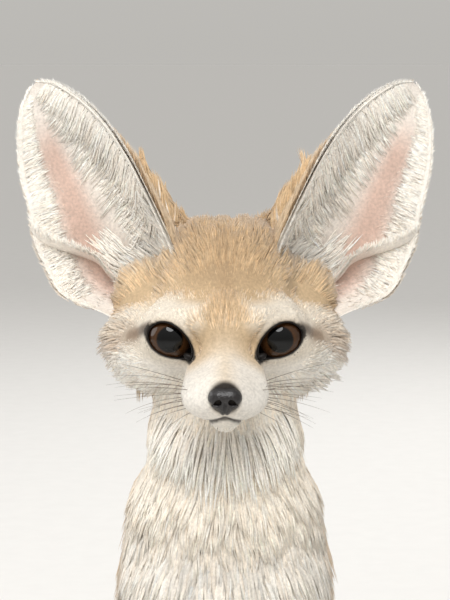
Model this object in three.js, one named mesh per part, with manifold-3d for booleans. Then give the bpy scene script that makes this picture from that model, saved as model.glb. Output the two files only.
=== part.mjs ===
// Fennec fox, adult, sitting upright with its tail laid round its side, as a life-size still model.
// Millimetres, +Z up, the fox faces -Y and its left side is +X. The floor is z = 0.
import * as THREE from "three";
import { mergeVertices } from "three/addons/utils/BufferGeometryUtils.js";
import Module from "manifold-3d";

const wasm = await Module();
wasm.setup();

// Driving dimensions
const GAP = 0.3; // between pieces that touch
const LOCK_GAP = 1; // grown round a lock that cuts another piece, whose twisted faces bulge
const EYE_LEVEL = 258; // height of the eyes above the floor
const EYE_FORWARD = 45; // how far the eyes lie in front of the shoulders
const HEAD_PITCH = THREE.MathUtils.degToRad(12); // muzzle down from level
const EYE_SPACING = 42; // between the eyes' middles
const EYE_RADIUS = 8.8;
const LID_THICKNESS = 1.3;
const EAR_LENGTH = 84; // from the notch at its foot to its tip
const EAR_WIDTH = 54; // at its widest, rim to rim
const EAR_THICKNESS = 2.4;
const FOLD_HEIGHT = 10; // of the wall that parts the pocket of the outer rim from the cup
const FOLD_THICKNESS = 1.3;
const NOSE_TIP = 41; // in front of the eyes
const NOSE_DROP = 10; // below the eyes
const TAIL_REACH = 88; // sideways, where the tail lies beside the haunch
const FLAT_DEPTH = 1.2; // how much of each foot is pressed flat
const FOREPAW_PLACE = [19.5, -26]; // across and back, where the wrist stands
const HINDFOOT_PLACE = 42; // across

// How far forms melt into each other where they meet
const HEAD_BLEND = 9;
const NOSE_BLEND = 2.5;
const NECK_BLEND = 14;
const TRUNK_BLEND = 16;
const THIGH_BLEND = 12;
const LEG_BLEND = 6;
const TOE_BLEND = 2.4;
const TAIL_BLEND = 2;

const COAT = new THREE.MeshStandardMaterial({ color: 0xd9bd94, roughness: 0.95 });
const PALE_COAT = new THREE.MeshStandardMaterial({ color: 0xefe4cf, roughness: 0.95 });
const EAR_SKIN = new THREE.MeshStandardMaterial({ color: 0xe2bfa4, roughness: 0.9 });
const TAIL_COAT = new THREE.MeshStandardMaterial({ color: 0xcaa473, roughness: 0.95 });
const TAIL_TIP_COAT = new THREE.MeshStandardMaterial({ color: 0x3a2c20, roughness: 0.95 });
const NOSE_SKIN = new THREE.MeshStandardMaterial({ color: 0x17120f, roughness: 0.4 });
const EYE_GLOSS = new THREE.MeshStandardMaterial({ color: 0x1b0f08, roughness: 0.05 });

const point = (x, y, z) => new THREE.Vector3(x, y, z);
const mix = (a, b, t) => a + (b - a) * t;
const clamp01 = (t) => Math.min(1, Math.max(0, t));
const curve = (points) => new THREE.CatmullRomCurve3(points.map((p) => point(...p)), false, "centripetal");

// Seeded, so that every build gives the same coat
let seed = 20240;
function random(low, high) {
  seed = (seed * 1664525 + 1013904223) % 4294967296;
  return low + ((high - low) * seed) / 4294967296;
}

// Solids

function solid(geometry) {
  const bare = geometry.clone();
  for (const name of Object.keys(bare.attributes)) if (name !== "position") bare.deleteAttribute(name);
  const merged = mergeVertices(bare, 1e-3);
  const corners = merged.getAttribute("position").array;
  const kept = [];
  for (let i = 0; i < merged.index.count; i += 3) {
    const [a, b, c] = [0, 1, 2].map((k) => merged.index.getX(i + k));
    if (a !== b && b !== c && c !== a) kept.push(a, b, c);
  }
  const made = new wasm.Manifold(
    new wasm.Mesh({ numProp: 3, vertProperties: corners, triVerts: new Uint32Array(outward(corners, kept)) }),
  );
  return made;
}

// Turns every face round where a mapping has mirrored the mesh
function outward(corners, faces) {
  const at = (i) => point(corners[3 * i], corners[3 * i + 1], corners[3 * i + 2]);
  let volume = 0;
  for (let i = 0; i < faces.length; i += 3)
    volume += at(faces[i]).dot(at(faces[i + 1]).cross(at(faces[i + 2])));
  if (volume > 0) return faces;
  const turned = [...faces];
  for (let i = 0; i < faces.length; i += 3) [turned[i + 1], turned[i + 2]] = [faces[i + 2], faces[i + 1]];
  return turned;
}

const fuse = (...solids) => wasm.Manifold.union(solids.flat());
const clear = (made, ...cutters) => cutters.flat().reduce((left, cutter) => left.subtract(cutter), made);
const moved = (geometry, matrix) => geometry.clone().applyMatrix4(matrix);

// The largest closed surface of a solid, with any hollow that fusing sealed filled
function largest(made) {
  const pieces = made.decompose();
  return pieces.reduce((best, next) => (next.volume() > best.volume() ? next : best));
}

function piece(name, made, material) {
  const { vertProperties, triVerts, numProp } = largest(made).getMesh();
  const corners = new Float32Array((vertProperties.length / numProp) * 3);
  for (let i = 0; i < corners.length / 3; i++)
    corners.set(vertProperties.subarray(i * numProp, i * numProp + 3), i * 3);
  const geometry = new THREE.BufferGeometry()
    .setAttribute("position", new THREE.BufferAttribute(corners, 3))
    .setIndex(new THREE.BufferAttribute(new Uint32Array(triVerts), 1));
  const mesh = new THREE.Mesh(geometry, material);
  mesh.name = name;
  return mesh;
}

// Rounded forms, melted into one smooth skin

// An egg: centre, half-sizes and a tilt about X. A form off the middle plane stands for a pair.
const egg = (at, size, tilt = 0) => ({ at: point(...at), size: point(...size), tilt });
// A tapered limb between two points
const bone = (from, to, r0, r1) => ({ from: point(...from), to: point(...to), r0, r1 });

const query = point(0, 0, 0);
function eggDistance(form, p) {
  query.copy(p).sub(form.at);
  if (form.tilt) query.applyAxisAngle(X_AXIS, -form.tilt);
  const { x, y, z } = query;
  const { x: a, y: b, z: c } = form.size;
  const near = Math.hypot(x / a, y / b, z / c);
  const far = Math.hypot(x / (a * a), y / (b * b), z / (c * c));
  return far < 1e-9 ? -Math.min(a, b, c) : (near * (near - 1)) / far;
}
const X_AXIS = point(1, 0, 0);

function boneDistance(form, p) {
  const along = query.copy(form.to).sub(form.from);
  const t = clamp01(along.dot(p.clone().sub(form.from)) / along.lengthSq());
  return p.distanceTo(form.from.clone().lerp(form.to, t)) - mix(form.r0, form.r1, t);
}

// The distance to a body made of forms: below nought inside
function body(forms, blend, mirrored = true) {
  const folded = point(0, 0, 0);
  return (p) => {
    folded.copy(p);
    if (mirrored) folded.x = Math.abs(p.x);
    let least = 1e3;
    for (const form of forms) {
      const d = form.size ? eggDistance(form, folded) : boneDistance(form, folded);
      const near = Math.max(blend - Math.abs(least - d), 0) / blend;
      least = Math.min(least, d) - (near * near * blend) / 4;
    }
    return least;
  };
}

function slope(inside, p) {
  const step = 0.5;
  const along = (dx, dy, dz) =>
    inside(point(p.x + dx, p.y + dy, p.z + dz)) - inside(point(p.x - dx, p.y - dy, p.z - dz));
  return point(along(step, 0, 0), along(0, step, 0), along(0, 0, step)).normalize();
}

// Where a ray from inside a body leaves it
function exit(inside, from, way, grow = 0) {
  const at = (t) => inside(point(from.x + way.x * t, from.y + way.y * t, from.z + way.z * t)) - grow;
  let low = 0;
  let high = 2;
  while (at(high) < 0 && high < 150) {
    low = high;
    high += 2;
  }
  for (let i = 0; i < 14; i++) {
    const middle = (low + high) / 2;
    if (at(middle) < 0) low = middle;
    else high = middle;
  }
  return point(from.x, from.y, from.z).addScaledVector(way, (low + high) / 2);
}

// The cross axes of a spine: right as near X as it goes, and up square to both
function axes(spine, t, right = X_AXIS) {
  const ahead = spine.getTangentAt(t);
  const across = right.clone().addScaledVector(ahead, -right.dot(ahead)).normalize();
  return { ahead, across, up: ahead.clone().cross(across) };
}

// A sphere's net drawn over a body by rays from its spine, fanned out at both ends
function skin(inside, spine, sides, rings, { grow = 0, fan = 0.18, right = X_AXIS } = {}) {
  const net = new THREE.SphereGeometry(1, sides, rings);
  const spots = net.getAttribute("position");
  for (let i = 0; i < spots.count; i++) {
    const spot = point(0, 0, 0).fromBufferAttribute(spots, i);
    const u = Math.acos(Math.min(1, Math.max(-1, spot.y))) / Math.PI;
    const t = clamp01((u - fan) / (1 - 2 * fan));
    const lean = u < fan ? u / fan / 2 : u > 1 - fan ? 1 - (1 - u) / fan / 2 : 0.5;
    const { ahead, across, up } = axes(spine, t, right);
    const turn = Math.atan2(spot.z, spot.x);
    const way = across.multiplyScalar(Math.cos(turn)).addScaledVector(up, Math.sin(turn));
    way.multiplyScalar(Math.sin(lean * Math.PI)).addScaledVector(ahead, -Math.cos(lean * Math.PI));
    const end = exit(inside, spine.getPointAt(t), way, grow);
    spots.setXYZ(i, end.x, end.y, end.z);
  }
  return net;
}

// Locks of hair

const LOCK_SHAPE = [0.6, 1, 0.74, 0]; // share of the full width from root to tip
const LOCK_ROOT = 3.5; // how deep the roots are sunk
const LOCK_LIFT = [0, 0.62, 1, 0.8]; // share of the full rise from root to tip, which turns back down

// One flat tapered lock with a ridge along it, bent to follow the body it grows on
function lock(inside, { root, lie, length, width, thickness, rise, sway, cling = 1 }, grow = 0) {
  const steps = LOCK_SHAPE.length - 1;
  const line = [];
  const spot = root.clone();
  const way = lie.clone();
  for (let k = 0; k <= steps; k++) {
    const out = slope(inside, spot);
    spot.addScaledVector(out, -inside(spot) * cling);
    way.addScaledVector(out, -way.dot(out) * cling).normalize();
    const side = way.clone().cross(out);
    const lift = mix(-LOCK_ROOT, rise, LOCK_LIFT[k]);
    const tip = k === steps ? 2 * grow : 0;
    const at = spot.clone().addScaledVector(out, lift).addScaledVector(side, sway * (k / steps) ** 2);
    line.push({ at: at.addScaledVector(way, tip), side, out });
    spot.addScaledVector(way, length / steps);
  }
  const net = new THREE.ConeGeometry(1, 1, 3, steps);
  const spots = net.getAttribute("position");
  for (let i = 0; i < spots.count; i++) {
    const k = Math.round((spots.getY(i) + 0.5) * steps);
    const reach = Math.hypot(spots.getX(i), spots.getZ(i));
    const full = reach < 0.01 ? 0 : LOCK_SHAPE[k] / reach;
    const across = spots.getX(i) * full * (width / Math.sqrt(3) + 2 * grow);
    const above = spots.getZ(i) * full * (thickness + 2 * grow);
    const { at, side, out } = line[k];
    const end = at.clone().addScaledVector(side, across).addScaledVector(out, above);
    spots.setXYZ(i, end.x, end.y, end.z);
  }
  return net;
}

const hair = (inside, locks, grow = 0) => locks.map((one) => solid(lock(inside, one, grow)));

// Rows of locks round a spine. Each row: place along the spine, number of locks and the arc they stand in
function coat(inside, spine, rows, { length, width, thickness, rise, right = X_AXIS, swirl = 0 }) {
  const locks = [];
  rows.forEach(({ t, many, arc, longer = 1 }, row) => {
    const { ahead, across, up } = axes(spine, t, right);
    for (let i = 0; i < many; i++) {
      const share = (i + 0.5 + (row % 2 ? 0.22 : -0.22)) / many;
      const turn = mix(arc[0], arc[1], share) * DEGREE + random(-0.06, 0.06);
      const way = across.clone().multiplyScalar(Math.cos(turn)).addScaledVector(up, Math.sin(turn));
      const root = exit(inside, spine.getPointAt(clamp01(t + random(-0.012, 0.012))), way);
      const out = slope(inside, root);
      const lie = ahead.clone().addScaledVector(out, -ahead.dot(out)).normalize();
      lie.addScaledVector(lie.clone().cross(out), random(-0.16, 0.16) + swirl * Math.cos(turn)).normalize();
      locks.push({
        root, lie, length: length * longer * random(0.88, 1.12), width: width * random(0.88, 1.12),
        thickness, rise: rise * random(0.8, 1.15), sway: random(-2, 2),
      });
    }
  });
  return locks;
}
const DEGREE = Math.PI / 180;

// Head: x across, y back, z up from the point between the eyes

const HEAD_FORMS = [
  egg([0, 30, 5], [29, 29, 33]), // crown
  egg([0, 5, 5], [21, 19, 14]), // forehead
  egg([20, 6, 1], [14, 13, 13]), // round the eye
  bone([0, -6, -3], [0, 8 - NOSE_TIP, -8.5], 8, 6), // bridge
  egg([8, -13, -11], [8, 12, 7]), // root of the muzzle
  egg([8, -27, -14], [9, 11, 7.5]), // whisker pad
  egg([0, -33, -12], [8.5, 6, 7]), // snout
  egg([25, 9, -10], [14, 14, 12]), // cheekbone
  egg([30, 24, -10], [17, 18, 16]), // cheek
  bone([0, 8, -16], [0, -27, -21], 13, 5.6), // jaw
  egg([30, 42, 1], [15, 13, 15]), // seat of the ear
  egg([0, 32, -5], [26, 24, 24]), // nape
];
const headBody = body(HEAD_FORMS, HEAD_BLEND);
const HEAD_SPINE = curve([[0, -30, -13], [0, -14, -9], [0, 6, -2], [0, 30, 2], [0, 42, 1]]);
const HEAD_SIDES = 28;
const HEAD_RINGS = 24;
const headSkin = (grow) => skin(headBody, HEAD_SPINE, HEAD_SIDES, HEAD_RINGS, { grow });

const headFrame = new THREE.Matrix4()
  .makeRotationX(HEAD_PITCH)
  .setPosition(0, -EYE_FORWARD, EYE_LEVEL);

// The way an eye looks: forward, a little outward and up
const GAZE_OUT = THREE.MathUtils.degToRad(9);
const GAZE_UP = THREE.MathUtils.degToRad(12);
const EYE_SLANT = THREE.MathUtils.degToRad(24);
// The almond between the lids: reach of its corners and edges from the middle of the eye, the height of each
// corner, and how far in front of that middle the opening begins
const EYE_OPENING = {
  inner: 8.6, outer: 8.1, upper: 6.5, lower: 5.9,
  innerLift: -1.5, outerLift: 0.6, start: 1.5,
};

const eyeCentre = (side) => point((side * EYE_SPACING) / 2, 0, 0);

// From an eye's own axes (x towards the nose, y up along the lids, z out of the eye) to the head's
function eyeFrame(side) {
  const level = Math.cos(GAZE_OUT) * Math.cos(GAZE_UP);
  const out = point(side * Math.sin(GAZE_OUT), -level, Math.sin(GAZE_UP)).normalize();
  const inward = point(-side, 0, 0);
  inward.addScaledVector(out, -inward.dot(out)).normalize();
  const up = out.clone().cross(inward).multiplyScalar(side > 0 ? 1 : -1);
  if (up.z < 0) up.negate();
  const slanted = inward.clone().multiplyScalar(Math.cos(EYE_SLANT)).addScaledVector(up, -Math.sin(EYE_SLANT));
  const lift = up.clone().multiplyScalar(Math.cos(EYE_SLANT)).addScaledVector(inward, Math.sin(EYE_SLANT));
  return new THREE.Matrix4().makeBasis(slanted, lift, out).setPosition(eyeCentre(side));
}

// The almond between the lids, as a prism out of the eye
function eyeOpening(side) {
  const { inner, outer, upper, lower, innerLift, outerLift, start } = EYE_OPENING;
  const almond = new THREE.Shape();
  almond.moveTo(inner, innerLift);
  almond.bezierCurveTo(inner * 0.5, upper * 1.25, -outer * 0.5, upper * 1.35, -outer, outerLift);
  almond.bezierCurveTo(-outer * 0.6, -lower * 1.3, inner * 0.45, -lower * 1.3, inner, innerLift);
  const prism = new THREE.ExtrudeGeometry(almond, { depth: 30, bevelEnabled: false, curveSegments: 7 });
  return moved(prism.translate(0, 0, start), eyeFrame(side));
}

function eyeball(side, radius, detail) {
  const ball = new THREE.SphereGeometry(radius, detail, Math.round(detail * 0.7));
  return moved(ball.rotateX(Math.PI / 2), eyeFrame(side));
}

// The nose pad, broader above than below
const noseBody = body([
  egg([0, 2 - NOSE_TIP, 1.4 - NOSE_DROP], [6.1, 3.8, 4.3]),
  egg([3.5, 2.3 - NOSE_TIP, 0.2 - NOSE_DROP], [3.2, 3.6, 3.8]),
  egg([0, 2.8 - NOSE_TIP, -3.6 - NOSE_DROP], [2.9, 3.1, 3.4]),
], NOSE_BLEND);
const NOSE_SPINE = curve([[0, 3.2 - NOSE_TIP, 1 - NOSE_DROP], [0, 2.4 - NOSE_TIP, -0.9 - NOSE_DROP]]);
const NOSTRIL = { out: 2.7, back: -0.1, up: 0.2, size: [1.6, 2.2, 1.2], turn: 0.5 };

function nose() {
  let pad = solid(skin(noseBody, NOSE_SPINE, 14, 8, { fan: 0.4 }));
  for (const side of [1, -1]) {
    const nostril = new THREE.SphereGeometry(1, 7, 5);
    nostril.scale(...NOSTRIL.size);
    nostril.rotateY(side * NOSTRIL.turn);
    nostril.translate(side * NOSTRIL.out, NOSTRIL.back - NOSE_TIP, NOSTRIL.up - NOSE_DROP);
    pad = pad.subtract(solid(nostril));
  }
  return pad.subtract(solid(headSkin(GAP)));
}

// The side outline of the jaw, under the line of the mouth. The points run back from the lip to the corner
const MOUTH_LINE = [[-46, -18.6], [-36, -19.4], [-28, -21.4], [-20, -21.2], [-13, -18.4]];
const JAW_BACK = -2;
const LIP = { half: 0.7, deep: 1.1, corner: -12.5 }; // the groove between the lips

function jawRegion(lower) {
  const outline = new THREE.Shape();
  outline.moveTo(-60, -60);
  outline.lineTo(-60, MOUTH_LINE[0][1] - lower);
  outline.splineThru(MOUTH_LINE.map(([y, z]) => new THREE.Vector2(y, z - lower)));
  outline.lineTo(JAW_BACK - lower, -24);
  outline.lineTo(JAW_BACK - lower, -60);
  const prism = new THREE.ExtrudeGeometry(outline, { depth: 80, bevelEnabled: false, curveSegments: 3 });
  // The shape lies in y and z, so its depth is turned to run across
  prism.applyMatrix4(new THREE.Matrix4().makeBasis(point(0, 1, 0), point(0, 0, 1), X_AXIS));
  return prism.translate(-40, 0, 0);
}

// A shallow groove where the lips meet: a thin band along the mouth line, kept out of the flesh
function lipGroove() {
  const band = solid(jawRegion(-LIP.half)).subtract(solid(jawRegion(LIP.half)));
  const front = solid(new THREE.BoxGeometry(60, 60, 60).translate(0, LIP.corner - 30, 0));
  return band.intersect(front).subtract(solid(headSkin(-LIP.deep)));
}

// Cheek ruff: rows of locks that sweep back and out from below the ear to the throat
const CHEEK_ROWS = [
  { y: 10, many: 3, from: 0, to: -66, length: 21, rise: 2.5 },
  { y: 22, many: 4, from: 16, to: -60, length: 25, rise: 4 },
  { y: 35, many: 4, from: 12, to: -70, length: 27, rise: 4.5 },
];

function cheekRuff(side) {
  const locks = [];
  for (const { y, many, from, to, length, rise } of CHEEK_ROWS) {
    for (let i = 0; i < many; i++) {
      const share = (i + 0.5) / many;
      const turn = mix(from, to, share) * DEGREE + random(-0.05, 0.05);
      const way = point(side * Math.cos(turn), 0, Math.sin(turn));
      const root = exit(headBody, point(0, y + random(-1.5, 1.5), -6), way);
      const lie = point(side * mix(0.9, 0.5, share), 0.62, mix(0.1, -0.85, share)).normalize();
      locks.push({
        root, lie, length: length * random(0.9, 1.1), width: 15, thickness: 2.8, rise, sway: random(-2, 2),
        cling: 0.55,
      });
    }
  }
  return locks;
}

// The crown between the ears, and the back of the head
const CROWN_SPINE = curve([[0, 0, 4], [0, 18, 10], [0, 36, 8], [0, 46, -6]]);
const CROWN_ROWS = [
  { t: 0.62, many: 3, arc: [-122, -58] },
  { t: 0.93, many: 4, arc: [-140, -40], longer: 1.4 },
];
// The furred root of each ear, a cone that stands up behind its inner rim
const EAR_ROOT = { from: [17, 43, 23], to: [32, 51, 50], wide: 8.5, narrow: 2.6, blend: 1 };
const EAR_ROOT_LOCKS = [
  { along: 0.05, way: [-0.5, -0.7, 0.5] },
  { along: 0.3, way: [-0.85, -0.1, 0.5] },
  { along: 0.35, way: [-0.4, 0.85, 0.35] },
];
const EAR_ROOT_LOCK = { length: 17, width: 11, thickness: 2.2, rise: 1.8, sway: 0, cling: 0.6 };
const mirrored = ([x, y, z], side) => point(side * x, y, z);

function earRoot(side) {
  const cone = bone(EAR_ROOT.from, EAR_ROOT.to, EAR_ROOT.wide, EAR_ROOT.narrow);
  const inside = sideBody([cone], side, EAR_ROOT.blend);
  const [from, to] = [EAR_ROOT.from, EAR_ROOT.to].map((at) => mirrored(at, side));
  const core = solid(skin(inside, new THREE.LineCurve3(from, to), 9, 8, { fan: 0.25 }));
  const locks = EAR_ROOT_LOCKS.map(({ along, way }) => ({
    root: exit(inside, from.clone().lerp(to, along), mirrored(way, side).normalize()),
    lie: to.clone().sub(from).normalize(),
    ...EAR_ROOT_LOCK,
  }));
  return [core, ...hair(inside, locks)];
}
const headLocks = () => [
  ...cheekRuff(1), ...cheekRuff(-1),
  ...coat(headBody, CROWN_SPINE, CROWN_ROWS, { length: 19, width: 15, thickness: 2, rise: 3 }),
];

// Ears: a leaf rolled into a cup, from the tip to a foot that stands on the head

const EAR_TIP = point(76.5, 72, 83);
const EAR_FOOT = point(39.5, 34, 14);
const EAR_FACING = point(0.35, -0.94, 0);

function earAxes(side) {
  const down = EAR_FOOT.clone().sub(EAR_TIP).normalize();
  const facing = EAR_FACING.clone().addScaledVector(down, -EAR_FACING.dot(down)).normalize();
  const outer = facing.clone().cross(down).normalize();
  if (outer.x < 0) outer.negate();
  const mirror = (v) => point(side * v.x, v.y, v.z);
  return { down: mirror(down), facing: mirror(facing), outer: mirror(outer), tip: mirror(EAR_TIP) };
}

// v is 0 at the tip, 1 at the notch. Each rim's distance from the line between tip and foot
const earSwell = (v) => Math.pow(Math.max(1 - Math.pow(1 - Math.min(v, 0.64) / 0.64, 2), 0), 0.62);
const innerRim = (v) => EAR_WIDTH * 0.45 * earSwell(v) * (1 - 0.1 * clamp01((v - 1) / 0.3));
const outerRim = (v) =>
  EAR_WIDTH * (0.53 * earSwell(v) + 0.08 * clamp01((v - 0.5) / 0.2)) * (1 - 0.62 * smooth((v - 0.9) / 0.36));
const earWrap = (v) => THREE.MathUtils.degToRad(mix(22, 82, clamp01(v / 1.02)));
const smooth = (t) => clamp01(t) * clamp01(t) * (3 - 2 * clamp01(t));

// A point of the cup: across is -1 at the inner rim and 1 at the outer, depth counts from the shell's middle
function earPoint(side, v, across, depth) {
  const { down, facing, outer, tip } = earAxes(side);
  const half = Math.max((innerRim(v) + outerRim(v)) / 2, 0.01);
  const wrap = earWrap(v);
  const radius = half / Math.sin(wrap);
  const turn = across * wrap;
  const sideways = (radius - depth) * Math.sin(turn) + (outerRim(v) - innerRim(v)) / 2;
  const forward = radius * (Math.cos(wrap) - Math.cos(turn)) + depth * Math.cos(turn);
  return tip.clone().addScaledVector(down, v * EAR_LENGTH)
    .addScaledVector(outer, sideways)
    .addScaledVector(facing, forward);
}

const EAR_END = 1.3; // how far the shell runs, past the notch and into the head

function earShell(side, grow = 0, filled = 0) {
  const net = new THREE.SphereGeometry(1, 18, 12);
  const spots = net.getAttribute("position");
  for (let i = 0; i < spots.count; i++) {
    const spot = point(0, 0, 0).fromBufferAttribute(spots, i);
    const u = Math.acos(Math.min(1, Math.max(-1, spot.y))) / Math.PI;
    const v = EAR_END * Math.pow(u, 1.25);
    const round = Math.hypot(spot.x, spot.z) || 1;
    const pole = u < 0.001 || u > 0.999 ? 0 : 1;
    const across = pole * (spot.x / round);
    const swell = pole * Math.sign(spot.z) * Math.pow(Math.abs(spot.z / round), 0.45);
    const deep = EAR_THICKNESS / 2 + grow + (swell > 0 ? filled : 0);
    const at = earPoint(side, v, across * (1 + grow * 0.02), swell * deep);
    spots.setXYZ(i, at.x, at.y, at.z);
  }
  return net;
}

// The fold that parts the pocket of the outer rim from the cup: a low wall that curls in from the rim
function earFold(side) {
  const net = new THREE.SphereGeometry(1, 6, 8);
  const spots = net.getAttribute("position");
  for (let i = 0; i < spots.count; i++) {
    const spot = point(0, 0, 0).fromBufferAttribute(spots, i);
    const u = Math.acos(Math.min(1, Math.max(-1, spot.y))) / Math.PI;
    const v = mix(0.6, 1.12, u);
    const across = 1 - 0.62 * smooth(u / 0.6);
    const tall = FOLD_HEIGHT * Math.sin(Math.PI * clamp01(0.06 + u * 0.9));
    const base = earPoint(side, v, across, 0);
    const inward = earPoint(side, v, across, 1).sub(base);
    const sideways = earPoint(side, v, across + 0.05, 0).sub(base).normalize();
    const at = base.addScaledVector(inward, (tall * (spot.z + 0.8)) / 1.8)
      .addScaledVector(sideways, spot.x * FOLD_THICKNESS);
    spots.setXYZ(i, at.x, at.y, at.z);
  }
  return net;
}

// Long hair inside the cup, from the inner rim across it, and shorter hair along the outer rim
const FRINGE = { long: 9, short: 3, width: 10, thickness: 1.4, rise: 3.6 };

function earFringe(side) {
  const locks = [];
  const strand = (v, from, to, fall) => {
    const steps = LOCK_SHAPE.length - 1;
    const net = new THREE.ConeGeometry(1, 1, 3, steps);
    const spots = net.getAttribute("position");
    const reachShare = (to - from) * random(0.92, 1.08);
    const lean = fall * random(0.8, 1.2);
    for (let i = 0; i < spots.count; i++) {
      const k = Math.round((spots.getY(i) + 0.5) * steps);
      const round = Math.hypot(spots.getX(i), spots.getZ(i));
      const full = round < 0.01 ? 0 : LOCK_SHAPE[k] / round;
      const s = k / steps;
      const high = LOCK_LIFT[k] * FRINGE.rise + spots.getZ(i) * full * FRINGE.thickness;
      const wide = (spots.getX(i) * full * FRINGE.width) / Math.sqrt(3) / EAR_LENGTH;
      const end = earPoint(side, v + lean * s + wide, from + reachShare * s, high);
      spots.setXYZ(i, end.x, end.y, end.z);
    }
    return solid(net);
  };
  for (let i = 0; i < FRINGE.long; i++) {
    const v = mix(0.1, 0.94, i / (FRINGE.long - 1));
    locks.push(strand(v, -0.93, mix(-0.1, 0.1, v), 0.05));
  }
  for (let i = 0; i < FRINGE.short; i++) {
    const v = mix(0.24, 0.6, i / (FRINGE.short - 1));
    locks.push(strand(v, 0.93, 0.5, 0.04));
  }
  return locks;
}

function ear(side) {
  return fuse(solid(earShell(side)), solid(earFold(side)), earFringe(side)).subtract(solid(headSkin(GAP)));
}

// The ear with its cup filled, which the head's fur keeps out of
const EAR_FILLING = 11;
const earCutter = (side) => solid(earShell(side, 0.4, EAR_FILLING));

// Head node: flesh, lids and ruff, with the eye sockets and the line of the mouth cut in
const headCoat = headLocks();

function head() {
  const lids = [1, -1].map((side) => solid(eyeball(side, EYE_RADIUS + GAP + LID_THICKNESS, 14)));
  let flesh = fuse(solid(headSkin(0)), lids);
  for (const side of [1, -1]) {
    flesh = flesh.subtract(solid(eyeball(side, EYE_RADIUS + GAP, 14)))
      .subtract(solid(eyeOpening(side)));
  }
  const fur = clear(fuse(hair(headBody, headCoat), earRoot(1), earRoot(-1)), earCutter(1), earCutter(-1));
  return flesh.subtract(lipGroove()).add(fur);
}

// Neck and trunk: each has a core half as deep as its coat, and rows of locks that stand out from it

const NECK_FORMS = [
  egg([0, -6, 238], [27, 29, 24]),
  egg([0, -8, 214], [29, 31, 28]),
  egg([0, -12, 190], [32, 33, 24]),
];
const TRUNK_FORMS = [
  egg([0, -18, 156], [34, 31, 42]), // chest
  egg([23, 2, 158], [15, 24, 42]), // shoulder
  egg([0, 16, 138], [35, 35, 48], 0.35), // ribs
  egg([0, 42, 104], [35, 35, 46], 0.55), // loin
  egg([0, 66, 56], [39, 41, 52], 0.25), // rump
];
const neckBody = body(NECK_FORMS, NECK_BLEND);
const trunkBody = body(TRUNK_FORMS, TRUNK_BLEND);
const NECK_SPINE = curve([[0, -8, 242], [0, -8, 214], [0, -12, 190]]);
const TRUNK_SPINE = curve([[0, -12, 186], [0, 0, 150], [0, 26, 118], [0, 50, 84], [0, 66, 52]]);
const neckSkin = (grow) => skin(neckBody, NECK_SPINE, 16, 8, { grow });
const trunkSkin = (grow) => skin(trunkBody, TRUNK_SPINE, 18, 14, { grow });

// Arcs are in degrees round the spine: 90 is the throat and belly, -90 the nape and back
const NECK_ROWS = [
  { t: 0.1, many: 9, arc: [-180, 180] },
  { t: 0.47, many: 10, arc: [-180, 180] },
  { t: 0.84, many: 11, arc: [-180, 180], longer: 1.2 },
];
const neckCoat = coat(neckBody, NECK_SPINE, NECK_ROWS, { length: 28, width: 22, thickness: 3.2, rise: 6 });

const TRUNK_ROWS = [
  { t: 0.0, many: 8, arc: [-180, 180] },
  { t: 0.2, many: 9, arc: [-180, 180] },
  { t: 0.38, many: 6, arc: [-180, 0] },
  { t: 0.54, many: 5, arc: [-180, 0] },
  { t: 0.7, many: 5, arc: [-175, -5] },
  { t: 0.86, many: 4, arc: [-160, -20] },
];
const trunkCoat = coat(trunkBody, TRUNK_SPINE, TRUNK_ROWS, { length: 38, width: 27, thickness: 3.6, rise: 6 });

const floor = () => solid(new THREE.BoxGeometry(600, 600, 100).translate(0, 0, -50));

// Thigh, with the shank folded against it
const THIGH_FORMS = [egg([40, 46, 54], [19, 42, 40], -0.1), bone([44, 14, 56], [42, 66, 18], 17, 13)];
const THIGH_SPINE = curve([[40, 22, 56], [40, 46, 52], [41, 66, 40]]);
const thighSkin = (side, grow) => sideSkin(THIGH_FORMS, THIGH_SPINE, side, 14, 10, THIGH_BLEND, { grow });

function mirrorForm(form, side) {
  const flip = (v) => point(v.x * side, v.y, v.z);
  return form.size ? { ...form, at: flip(form.at) } : { ...form, from: flip(form.from), to: flip(form.to) };
}
const sideBody = (forms, side, blend) => body(forms.map((form) => mirrorForm(form, side)), blend, false);
const sideCurve = (spine, side) =>
  new THREE.CatmullRomCurve3(spine.points.map((p) => point(p.x * side, p.y, p.z)), false, "centripetal");
const sideSkin = (forms, spine, side, sides, rings, blend, options) =>
  skin(sideBody(forms, side, blend), sideCurve(spine, side), sides, rings, options);

// Locks on the outer face of the haunch run back and down, where a ray out from its middle line leaves it
const THIGH_ROWS = [
  { from: [40, 26, 58], turns: [36, 74] },
  { from: [40, 44, 54], turns: [-2, 36, 74] },
  { from: [41, 64, 42], turns: [-20, 18, 56] },
];

function thighCoat(inside, side) {
  return THIGH_ROWS.flatMap(({ from, turns }) => turns.map((turn) => {
    const angle = turn * DEGREE + random(-0.08, 0.08);
    const way = point(side * Math.cos(angle), 0.1, Math.sin(angle)).normalize();
    const root = exit(inside, point(side * from[0], from[1] + random(-2, 2), from[2]), way);
    return {
      root, lie: point(0, 0.8, -0.45 + random(-0.12, 0.12)).normalize(), length: 30 * random(0.9, 1.1),
      width: 20, thickness: 3, rise: 4.4, sway: random(-2, 2),
    };
  }));
}

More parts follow.
